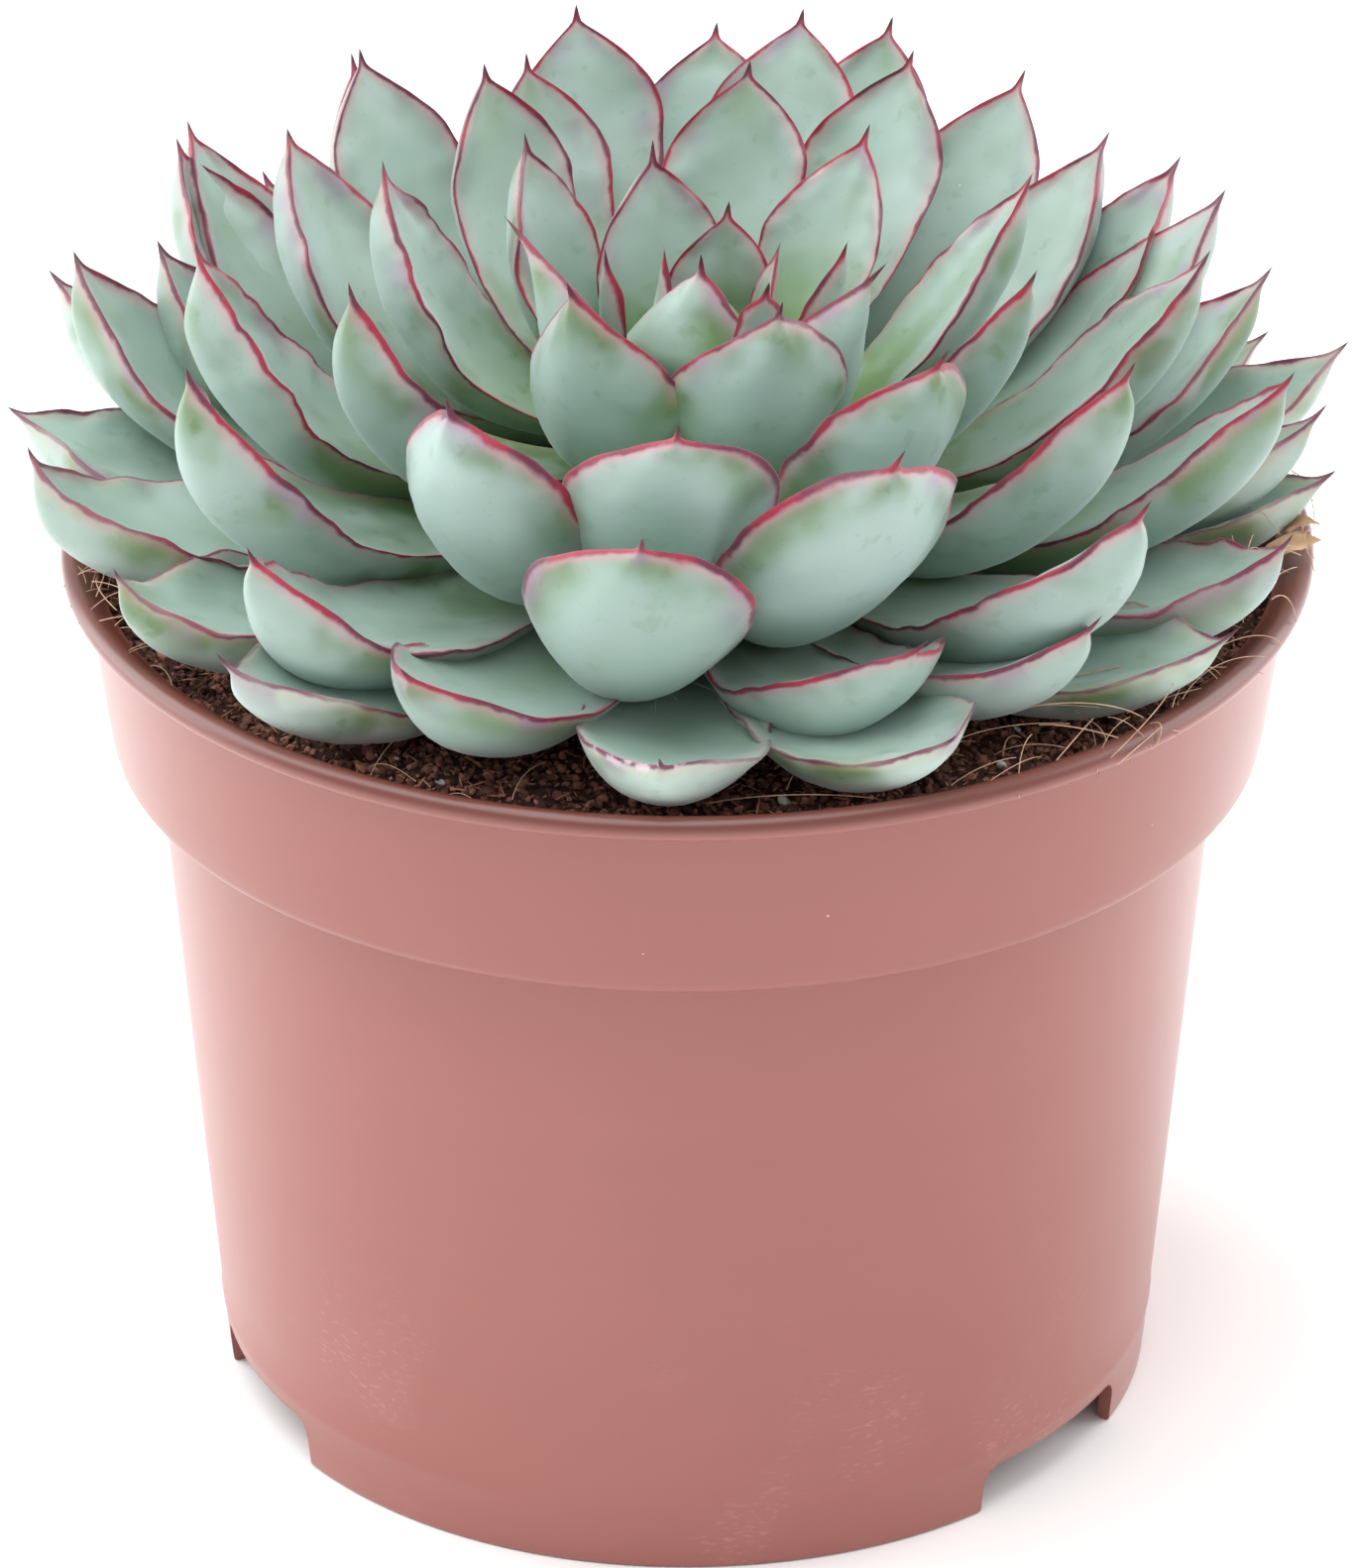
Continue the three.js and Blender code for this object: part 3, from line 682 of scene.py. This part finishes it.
# %% Turned wall of the pot
FOOT_RADIUS, BODY_TOP_RADIUS, STEP_Z = 45.7, 51.4, 68.1
COLLAR_RADIUS, COLLAR_TOP_RADIUS, POT_HEIGHT, WALL = 55.5, 58.2, 88.6, 1.4
BASE_Z, FLOOR_Z = 5.6, 7.0
FOOT_ROUND, STEP_ROUND = 0.5, 1.5
LIP_CENTRE, LIP_ROUND = (58.85, 87.45), 1.15
BAND = [(6.0, 0), (6.5, 0.12), (7.2, 0.12), (7.8, 0)]  # a raised line at the base's height
UNEVEN = 0.12  # how far the thin wall strays from round


def body_radius(z):
    return lerp(FOOT_RADIUS, BODY_TOP_RADIUS, z / STEP_Z)


def collar_radius(z):
    return lerp(COLLAR_RADIUS, COLLAR_TOP_RADIUS, (z - STEP_Z) / (POT_HEIGHT - STEP_Z))


def arc(centre, radius, start, end, steps):
    """Points of an arc in the profile's plane, angles in degrees."""
    angles = [math.radians(lerp(start, end, i / steps)) for i in range(steps + 1)]
    return [(centre[0] + radius * math.cos(a), centre[1] + radius * math.sin(a)) for a in angles]


def pot_profile():
    points = [(0, BASE_Z), (20, BASE_Z), (40, BASE_Z), (body_radius(BASE_Z) - WALL - 0.3, BASE_Z),
              (body_radius(4.9) - WALL, 4.9), (body_radius(2) - WALL, 2.0),
              (body_radius(0) - WALL, 0.4), (body_radius(0) - WALL + 0.4, 0)]
    points += arc((FOOT_RADIUS - FOOT_ROUND, FOOT_ROUND), FOOT_ROUND, -90, 0, 4)
    points += [(body_radius(z) + bulge, z) for z, bulge in [(3, 0)] + BAND]
    points += [(body_radius(z), z) for z in range(12, 68, 6)]
    points += [(body_radius(66.9), 66.9), (BODY_TOP_RADIUS + 0.15, 67.6)]
    points += [(BODY_TOP_RADIUS + 0.6, STEP_Z), (COLLAR_RADIUS - 1.7, STEP_Z)]
    points += arc((COLLAR_RADIUS - 1.4, STEP_Z + STEP_ROUND), STEP_ROUND, -80, -5, 5)
    points += [(collar_radius(z), z) for z in (71, 74, 77, 80, 83, 85.4)]
    points += [(collar_radius(86.2) + 0.05, 86.2)]
    points += arc(LIP_CENTRE, LIP_ROUND, -62, 105, 10)
    points += [(57.6, 88.1), (collar_radius(87.2) - WALL - 0.1, 87.2)]
    points += [(collar_radius(z) - WALL, z) for z in (84, 80, 75, STEP_Z + WALL + 0.6)]
    points += [(collar_radius(STEP_Z) - WALL - 0.7, STEP_Z + WALL), (body_radius(70) - WALL, 69.4)]
    points += [(body_radius(z) - WALL, z) for z in (60, 40, 20, 9)]
    points += [(body_radius(FLOOR_Z) - WALL - 1.2, FLOOR_Z), (30, FLOOR_Z), (0, FLOOR_Z)]
    return points


wall_mesh = lathe("wall", pot_profile(), 192, wobble=UNEVEN)
print("turned wall:", len(wall_mesh.polygons), "faces")

# %% Notches and drain slots, cut by one tree
NOTCH_AZIMUTHS, NOTCH_ANGLE, NOTCH_HEIGHT, NOTCH_CORNER = (52, 172.5, 293), 27, 5.2, 2.0
NOTCH_START, NOTCH_DEPTH = 34, 18  # of the cutter: distance from the axis, length
DRAIN_INNER, DRAIN_RIM, DRAIN_HALF = 38, 1, 10  # radius, what is left outside it, degrees
DRAIN_BOTTOM, DRAIN_HEIGHT = 4, 5
OVERCUT = 2  # cutters reach this far below the foot


@shape_tree("foot notches", {"Notch": "object", "Slot": "object"})
def cut_tree(t, k):
    cutters = t.nodes.new("GeometryNodeJoinGeometry")
    for azimuth in NOTCH_AZIMUTHS:
        for cutter in ("Notch", "Slot"):
            shape = node(t, "GeometryNodeObjectInfo", k[cutter], out=4)
            turned = wire(t.nodes.new("GeometryNodeTransform"), Geometry=shape,
                          Rotation=(0, 0, math.radians(azimuth)))
            wire(cutters, Geometry=result(turned))
    cut = t.nodes.new("GeometryNodeMeshBoolean")
    cut.operation, cut.solver = "DIFFERENCE", "EXACT"
    wire(cut, Mesh_1=k["Geometry"], Mesh_2=result(cutters))
    return result(cut)


def prism(name, outline, direction, start, depth):
    """A closed prism: a flat outline (Vectors, in millimetres), moved along a direction."""
    shape = bmesh.new()
    face = shape.faces.new([shape.verts.new((p + direction * start) * MM) for p in outline])
    pushed = bmesh.ops.extrude_face_region(shape, geom=[face])
    for item in pushed["geom"]:
        if isinstance(item, bmesh.types.BMVert):
            item.co += direction * depth * MM
    return put(name, finished(shape, name))


half_notch = FOOT_RADIUS * math.sin(math.radians(NOTCH_ANGLE / 2))
gate = [(-half_notch, -OVERCUT), (half_notch, -OVERCUT)]
corner_z = NOTCH_HEIGHT - NOTCH_CORNER
gate += arc((half_notch - NOTCH_CORNER, corner_z), NOTCH_CORNER, 0, 90, 5)
gate += arc((NOTCH_CORNER - half_notch, corner_z), NOTCH_CORNER, 90, 180, 5)
notch = prism("notch", [Vector((x, 0, z)) for x, z in gate], Vector((0, -1, 0)),
              NOTCH_START, NOTCH_DEPTH)
drain_outer = body_radius(BASE_Z) - WALL - DRAIN_RIM
left, right = -90 - DRAIN_HALF, -90 + DRAIN_HALF
ring_part = arc((0, 0), drain_outer, left, right, 8) + arc((0, 0), DRAIN_INNER, right, left, 8)
drain = prism("drain", [Vector((x, y, 0)) for x, y in ring_part], Vector((0, 0, 1)),
              DRAIN_BOTTOM, DRAIN_HEIGHT)

# %% [markdown]
# ### Terracotta-coloured plastic
# The plastic is even and satin-glossy. What makes it real are its small faults: tiny white
# specks, chalky scuffs low on the wall, faint streaks round it, and a few dark crumbs of soil.
# Its lip is painted darker, as painted shade.

# %% Pot plastic
TERRACOTTA, TERRACOTTA_DEEP = colour(157, 92, 83), colour(147, 84, 75)
# Painted shade: the darker colour painted on the lip.
LIP_PAINTED_SHADE = colour(92, 40, 31)
SPECK, CHALK, GRIME = colour(238, 222, 214), colour(206, 160, 150), colour(88, 48, 40)
SCUFFED, LIP = (0.006, 0.032), (0.0868, 0.0882)  # heights between which each fades, in metres
# Specks: cells to a metre, radius in metres, share of the cells, seed.
WHITE_SPECKS = ((95, 0.00028, 0.16, 0.0), (240, 0.00014, 0.12, 3.0))
DARK_SPECKS = (60, 0.00026, 0.05, 7.0)


def pot_plastic():
    made, t, shader = material("pot_plastic")
    place = node(t, "ShaderNodeTexCoord", out=3)
    x, y, z = parts(place)
    cloud = noise_at(t, place, 22, 3)
    rounds = noise_at(t, vector(t, x * 12, y * 12, z * 260), 1.0, 2)
    plastic = mix((cloud * 0.8 + rounds * 0.4).clamp(), TERRACOTTA, TERRACOTTA_DEEP)
    # Scuffs: fine broken scratches, in patches low on the wall.
    low = 1 - z.step(*SCUFFED)
    patch = noise_at(t, place, 45, 2).step(0.52, 0.7) * low
    scratch = noise_at(t, vector(t, x * 900, y * 900, z * 2600), 1.0, 2).step(0.55, 0.68)
    scuff = (patch * scratch * 0.3 + patch * 0.05).clamp()
    plastic = mix(scuff, plastic, CHALK)
    few, many = (specks(t, place, *kind) for kind in WHITE_SPECKS)
    white = few.most(many)
    plastic = mix(white * 0.85, plastic, SPECK)
    dark = specks(t, place, *DARK_SPECKS)
    plastic = mix(dark * 0.8, plastic, GRIME)
    # Painted shade: the lip is painted darker and redder than the wall, in place of the shade on
    # it.
    plastic = mix(z.step(*LIP) * 0.9, plastic, LIP_PAINTED_SHADE)
    wire(shader, Base_Color=plastic, Roughness=cloud * 0.1 + scuff * 0.3 + 0.27,
         Specular_IOR_Level=0.5, Coat_Weight=0.35, Coat_Roughness=0.3,
         Normal=relief(t, white + dark + scuff * 0.6 + rounds * 0.25, 0.3, 0.1))
    return made


pot = grow(cut_tree, "nursery_pot", wall_mesh, Notch=notch, Slot=drain, Material=pot_plastic())
for cutter in (notch, drain):
    bpy.data.objects.remove(cutter)
pot.data.set_sharp_from_angle(angle=math.radians(40))
settle(pot, "pot_plastic", "pot")
print("pot:", len(pot.data.polygons), "faces,", len(NOTCH_AZIMUTHS), "notches")

# %% [markdown]
# ## The soil
# The mix is dark coir and peat: an uneven bed, thousands of crumbs, short brown fibres and a few
# white perlite grains. The bed is a turned body with its top pushed up and down by noise.

# %% Soil bed
SOIL_EDGE_Z, SOIL_CENTRE_Z, SOIL_GAP = 84.2, 85.6, 0.3
SOIL_RINGS = 52
TOP_STARTS = (0.0832, 0.0840)  # heights between which the bed becomes rough, in metres
BED_RADIUS, SUNKEN_EDGE, SUNKEN = 0.0562, 0.12, 0.9  # metres, share of it, millimetres


def soil_profile():
    gap = WALL + SOIL_GAP
    points = [(0, FLOOR_Z + SOIL_GAP), (body_radius(7.3) - gap - 1.3, FLOOR_Z + SOIL_GAP)]
    points += [(body_radius(z) - gap, z) for z in (10, 30, 50, 69)]
    points += [(body_radius(70) - gap, STEP_Z + WALL + 1.0), (collar_radius(71) - gap, 71),
               (collar_radius(80) - gap, 80)]
    edge = collar_radius(SOIL_EDGE_Z) - gap
    points.append((edge, SOIL_EDGE_Z - 0.6))
    for i in range(SOIL_RINGS):
        radius = edge * (1 - i / SOIL_RINGS)
        points.append((radius, lerp(SOIL_CENTRE_Z, SOIL_EDGE_Z, radius / edge)))
    return points + [(0, SOIL_CENTRE_Z)]


bed_mesh = lathe("soil_bed", soil_profile(), 180)


@shape_tree("soil bed", {"Rough": 0.9 * MM})
def soil_tree(t, k):
    """Pushes the bed's top up and down, and sinks it along the wall."""
    place = node(t, "GeometryNodeInputPosition")
    x, y, z = parts(place)
    top = z.step(*TOP_STARTS)
    inner = 1 - (x * x + y * y) ** 0.5 / BED_RADIUS
    lift = (noise_at(t, place, 160, 3, 0.6) - 0.5) * 2 * k["Rough"] * 2.2 * top
    lift = lift + inner.clamp().step(0, SUNKEN_EDGE, -SUNKEN * MM, 0.0) * top
    return moved(t, k["Geometry"], vector(t, 0, 0, lift))


SOIL_DARK, SOIL_BROWN = colour(66, 40, 34), colour(154, 102, 87)
SOIL_RUST = colour(190, 132, 112)


def soil_material():
    made, t, shader = material("soil_mix")
    place = node(t, "ShaderNodeTexCoord", out=3)
    tone = attribute(t, "tone")
    grain = noise_at(t, place, 900, 4, 0.7)
    earth = mix((grain * 1.8 - 0.5).clamp(), SOIL_DARK, SOIL_BROWN)
    earth = mix(tone.step(0.55, 1.0) * 0.8, earth, SOIL_RUST)
    earth = mix(1 - tone.step(0.0, 0.4), earth, SOIL_DARK)
    wire(shader, Base_Color=earth, Roughness=0.75, Specular_IOR_Level=0.35,
         Normal=relief(t, grain, 0.8, 0.3))
    return made


earth = soil_material()
bed = grow(soil_tree, "soil_bed", bed_mesh, Material=earth)
settle(bed, "soil", "soil")
print("soil bed:", len(bed.data.polygons), "faces")

# %% [markdown]
# ### What lies on the bed
# One tree scatters grains on the bed's top. Its inputs choose their number, size and length, so
# it gives crumbs, dust, perlite and coir fibres, which are grains stretched long. Each copy
# writes its own tone for the colour.

# %% Scattered grains
BED_TOP_Z, LEVEL = 0.082, 0.25  # grains lie above this height, where the bed faces up
FULL_TURN = 6.283


@shape_tree("scatter grains", {
    "Density": 1.0, "Size": 1.0 * MM, "Length": 1.0, "Faces": 1, "Flatness": 0.6, "Tilt": 0.5,
    "Lift": 0.2 * MM, "Inner": 24 * MM, "Seed": 0})
def scatter_tree(t, k):
    place = node(t, "GeometryNodeInputPosition")
    x, y, z = parts(place)
    up = parts(node(t, "GeometryNodeInputNormal"))[2]
    radius = (x * x + y * y) ** 0.5
    band = radius.math("GREATER_THAN", k["Inner"]) * z.math("GREATER_THAN", BED_TOP_Z)
    band = band * up.math("GREATER_THAN", LEVEL)
    points = wire(t.nodes.new("GeometryNodeDistributePointsOnFaces"), Mesh=k["Geometry"],
                  Selection=band, Density=k["Density"], Seed=k["Seed"])
    ball = node(t, "GeometryNodeMeshIcoSphere", k["Size"], k["Faces"])
    push = vectors(t, "MULTIPLY", shake(t, place, 900, 1, k["Size"]), (1.1, 1.1, 1.1))
    grain = moved(t, ball, push)

    def chance(low, high, seed):
        made = t.nodes.new("FunctionNodeRandomValue")
        made.data_type = "FLOAT"
        feed(t, made.inputs[2], low)
        feed(t, made.inputs[3], high)
        return result(wire(made, Seed=k["Seed"] + seed), 1)

    turn = vector(t, chance(-1.0, 1.0, 1) * k["Tilt"], chance(-1.0, 1.0, 2) * k["Tilt"],
                  chance(0.0, FULL_TURN, 3))
    size = chance(0.45, 1.3, 4) * chance(0.6, 1.15, 5)
    copies = wire(t.nodes.new("GeometryNodeInstanceOnPoints"), Points=result(points),
                  Instance=grain, Rotation=turn,
                  Scale=vector(t, size * k["Length"], size, size * k["Flatness"]))
    lifted = node(t, "GeometryNodeTranslateInstances", result(copies), True,
                  vector(t, 0, 0, k["Lift"] * chance(-0.6, 1.0, 6)))
    lifted.socket.node.inputs["Local Space"].default_value = False
    return store(t, lifted, "tone", chance(0.0, 1.0, 8), "INSTANCE")


def plain_grain(name, pale, dark, scale):
    made, t, shader = material(name)
    place = node(t, "ShaderNodeTexCoord", out=3)
    skin = mix((noise_at(t, place, scale, 3) * 1.6 - 0.3).clamp(), pale, dark)
    wire(shader, Base_Color=skin, Roughness=0.7)
    return made


perlite = plain_grain("perlite", colour(232, 230, 226), colour(176, 170, 162), 1200)
coir = plain_grain("coir", colour(198, 146, 112), colour(104, 64, 48), 500)
grains = {
    "soil_crumbs": dict(Density=1.4e6, Size=0.5 * MM, Length=1.2, Flatness=0.8, Seed=1,
                        Material=earth),
    "soil_dust": dict(Density=1.4e6, Size=0.3 * MM, Length=1.5, Seed=2, Lift=0.8 * MM,
                      Material=earth),
    "coir_fibres": dict(Density=4.5e5, Size=0.11 * MM, Length=9.0, Flatness=0.8, Tilt=0.6,
                        Lift=0.9 * MM, Seed=3, Material=coir),
    "perlite_grains": dict(Density=6.0e3, Size=0.4 * MM, Length=1.3, Faces=2, Flatness=0.8,
                           Lift=0.8 * MM, Seed=4, Material=perlite),
}
for name, settings in grains.items():
    usual = {"Flatness": 0.6, "Tilt": 0.9, "Inner": 34 * MM, "Lift": 0.3 * MM, "Faces": 1}
    grown = grow(scatter_tree, name, bed.data.copy(), **{**usual, **settings})
    settle(grown, "soil")
    print(name, len(grown.data.polygons), "faces")

# %% [markdown]
# ### Roots over the rim
# Dry pale rootlets lie between the lowest leaves and the lip, a few fibres at the front, and
# cobweb threads hang between the leaves. Each is a tube along a bent curve that wanders a little
# and gets thin at both ends. Python only says where the ends are.

# %% Thread rule
@shape_tree("thread rule", {
    "Start": (0.0, 0.0, 0.0), "Handle 1": (0.0, 0.0, 0.01), "Handle 2": (0.01, 0.0, 0.01),
    "End": (0.01, 0.0, 0.0), "Thickness": 0.2 * MM, "Wander": 1.0 * MM, "Seed": 0.0})
def thread_tree(t, k):
    bent = node(t, "GeometryNodeCurvePrimitiveBezierSegment", 22, k["Start"], k["Handle 1"],
                k["Handle 2"], k["End"], mode="POSITION")
    share = node(t, "GeometryNodeSplineParameter")
    free = (share * math.pi).sin().most(0.0)
    sway = shake(t, vector(t, share * 3.5, k["Seed"], 0.0), 1.0, 2, free ** 0.5 * k["Wander"] * 4)
    ring = wire(t.nodes.new("GeometryNodeCurvePrimitiveCircle"), Resolution=6,
                Radius=k["Thickness"] * 0.5)
    tube = wire(t.nodes.new("GeometryNodeCurveToMesh"), Curve=moved(t, bent, sway),
                Profile_Curve=result(ring), Fill_Caps=True, Scale=free * 0.7 + 0.3)
    return node(t, "GeometryNodeSetShadeSmooth", result(tube))


def polar(azimuth, radius, z):
    """A point in metres, from its azimuth, radius and height in millimetres."""
    angle = math.radians(azimuth)
    return Vector((radius * math.sin(angle), -radius * math.cos(angle), z)) * MM


def join(name, pieces, slot):
    """Joins separate objects into one piece with the first one's material."""
    joined = bmesh.new()
    for piece in pieces:
        joined.from_mesh(piece.data)
    skin = pieces[0].data.materials[0]
    for piece in pieces:
        bpy.data.objects.remove(piece)
    mesh = finished(joined, name)
    mesh.materials.append(skin)
    settle(put(name, mesh), slot)


def threads(name, ends, thickness, wander, lift, skin, slot, draw):
    """One piece of threads, from pairs of a start and an end in millimetres."""
    made = []
    for start, end in ends:
        start, end = Vector(start) * MM, Vector(end) * MM
        rise = Vector((draw.uniform(-lift, lift), draw.uniform(-lift, lift), lift)) * MM
        made.append(grow(thread_tree, name, Start=start, Handle_1=start.lerp(end, 0.3) + rise,
                         Handle_2=start.lerp(end, 0.7) + rise, End=end,
                         Thickness=thickness * draw.uniform(0.6, 1.3) * MM,
                         Wander=wander * MM, Seed=draw.uniform(0, 90), Material=skin))
    join(name, made, slot)


# %% Rootlets, fibres and cobwebs
rootlet_skin = plain_grain("rootlet", colour(222, 188, 160), colour(164, 120, 96), 700)
cobweb_skin = plain_grain("cobweb", colour(226, 226, 220), colour(200, 200, 196), 300)
draw = random.Random(23)
RIM_RADIUS = 60.2  # no thread reaches further out


def tangle(count, azimuths, radii, heights, length):
    """Short threads within a part of the ring between leaves and lip."""
    ends = []
    for _ in range(count):
        start = polar(draw.uniform(*azimuths), draw.uniform(*radii), draw.uniform(*heights)) / MM
        turn = draw.uniform(0, 2 * math.pi)
        span = draw.uniform(*length)
        end = start + Vector((math.cos(turn), math.sin(turn), draw.uniform(-0.2, 0.25))) * span
        if math.hypot(end.x, end.y) > RIM_RADIUS:
            end *= RIM_RADIUS / math.hypot(end.x, end.y)
        end.z = max(end.z, heights[0])
        ends.append((start, end))
    return ends


roots = {
    "roots_left": tangle(34, (-98, -62), (52, 59.5), (87, 91.5), (5, 15)),
    "roots_right": tangle(28, (34, 58), (52, 59.5), (87, 91), (5, 15)),
    "roots_far_right": tangle(26, (60, 100), (54, 60), (88, 93), (5, 13)),
    "roots_in_soil": tangle(34, (-75, 50), (40, 56.5), (85.4, 86.2), (3, 9)),
}
for name, ends in roots.items():
    threads(name, ends, 0.36, 1.5, 1.2, rootlet_skin, "soil", draw)
FRONT_FIBRES = [((2, -51.5, 86.2), (17, -52.5, 87.2)), ((-16, -50.5, 86), (-13, -45, 87)),
                ((9, -50.5, 87), (12, -45, 89)), ((24, -50.5, 87.5), (30, -47, 88.5))]
COBWEBS = [((-5, -36, 94), (-1, -43, 92.3)), ((-4, -38, 93.5), (3, -41, 92)),
           ((-3, -35, 94.5), (-3, -45, 92)), ((-6, -37, 93), (0, -39, 92.5))]
threads("front_fibres", FRONT_FIBRES, 0.32, 0.5, 0.6, rootlet_skin, "soil", draw)
threads("cobwebs", COBWEBS, 0.09, 0.5, 0.2, cobweb_skin, "leaf", draw)

# %% [markdown]
# A withered leaf lies on the soil at the left, and a scrap and a crumb of one on the rim at the
# right. They are grown by the leaf rule too, thin and small, with a dry skin.

# %% Withered scraps
def scrap(name, azimuth, root, tip, width, roll, seed, pale, dark):
    """A withered leaf; root and tip are (distance from the axis, height) in millimetres."""
    start, end = Vector((root[0], 0, root[1])), Vector((tip[0], 0, tip[1]))
    bend = Vector((0, 0, 0.8))
    piece = grow(leaf_tree, name, Root=start, Root_handle=start.lerp(end, 0.3) + bend,
                 Tip_handle=start.lerp(end, 0.7) + bend, Tip=end, Azimuth=float(azimuth),
                 Width=width, Thickness=0.7, Cup_at_root=40.0, Cup_at_tip=70.0, Roll=float(roll),
                 End=0.9, Spine=0.8, Wave=2.5, Seed=seed,
                 Material=plain_grain(name + "_skin", pale, dark, 600))
    settle(piece, "soil")


scrap("dry_leaf_left", -73, (45.5, 86.0), (54.5, 87.2), 3.6, 30, 4.0,
      colour(128, 84, 104), colour(86, 50, 60))
scrap("dry_leaf_right", 82, (55.0, 88.6), (60.6, 91.6), 3.2, 50, 9.0,
      colour(226, 196, 160), colour(178, 136, 100))
scrap("dry_crumb_right", 86, (57.0, 90.4), (60.4, 91.0), 1.6, -40, 14.0,
      colour(206, 170, 130), colour(140, 96, 70))

# %% [markdown]
# ## Lights and floor
# The picture is bright and even: white surroundings, a big soft light behind on each side, one
# above and a weak low one in front. The floor is a plain pale sheet; it is no part of the object.

# %% Stage
world = bpy.data.worlds.new("white room")
bpy.context.scene.world = world
world.use_nodes = True
wire(world.node_tree.nodes["Background"], Color=(1, 1, 1, 1), Strength=0.78)
LIT_POINT = Vector((0, 0, 0.07))  # what the lights face
# Place, size (both in metres) and power in watts of each light.
SOFTBOXES = {
    "left softbox": ((-0.75, 0.25, 0.42), (0.8, 0.9), 7),
    "right softbox": ((0.8, 0.25, 0.42), (0.8, 0.9), 5.5),
    "top softbox": ((-0.15, -0.12, 0.9), (0.9, 0.8), 6.4),
    "low softbox": ((0, -0.75, 0.14), (1.3, 0.22), 0.15),
}
for name, (place, size, power) in SOFTBOXES.items():
    light = bpy.data.lights.new(name, "AREA")
    light.shape, light.size, light.size_y, light.energy = "RECTANGLE", *size, power
    lamp = put(name, light)
    lamp.location = place
    lamp.rotation_euler = (Vector(place) - LIT_POINT).to_track_quat("Z", "Y").to_euler()

floor_mesh = bpy.data.meshes.new("floor")
floor_mesh.from_pydata([(-4, -4, 0), (4, -4, 0), (4, 4, 0), (-4, 4, 0)], [], [(0, 1, 2, 3)])
floor = put("floor", floor_mesh)
floor_material, _, floor_shader = material("pale floor")
wire(floor_shader, Base_Color=(0.94, 0.94, 0.94, 1), Roughness=0.9)
floor_mesh.materials.append(floor_material)
bpy.context.scene.view_settings.view_transform = "Standard"
print("stage set")
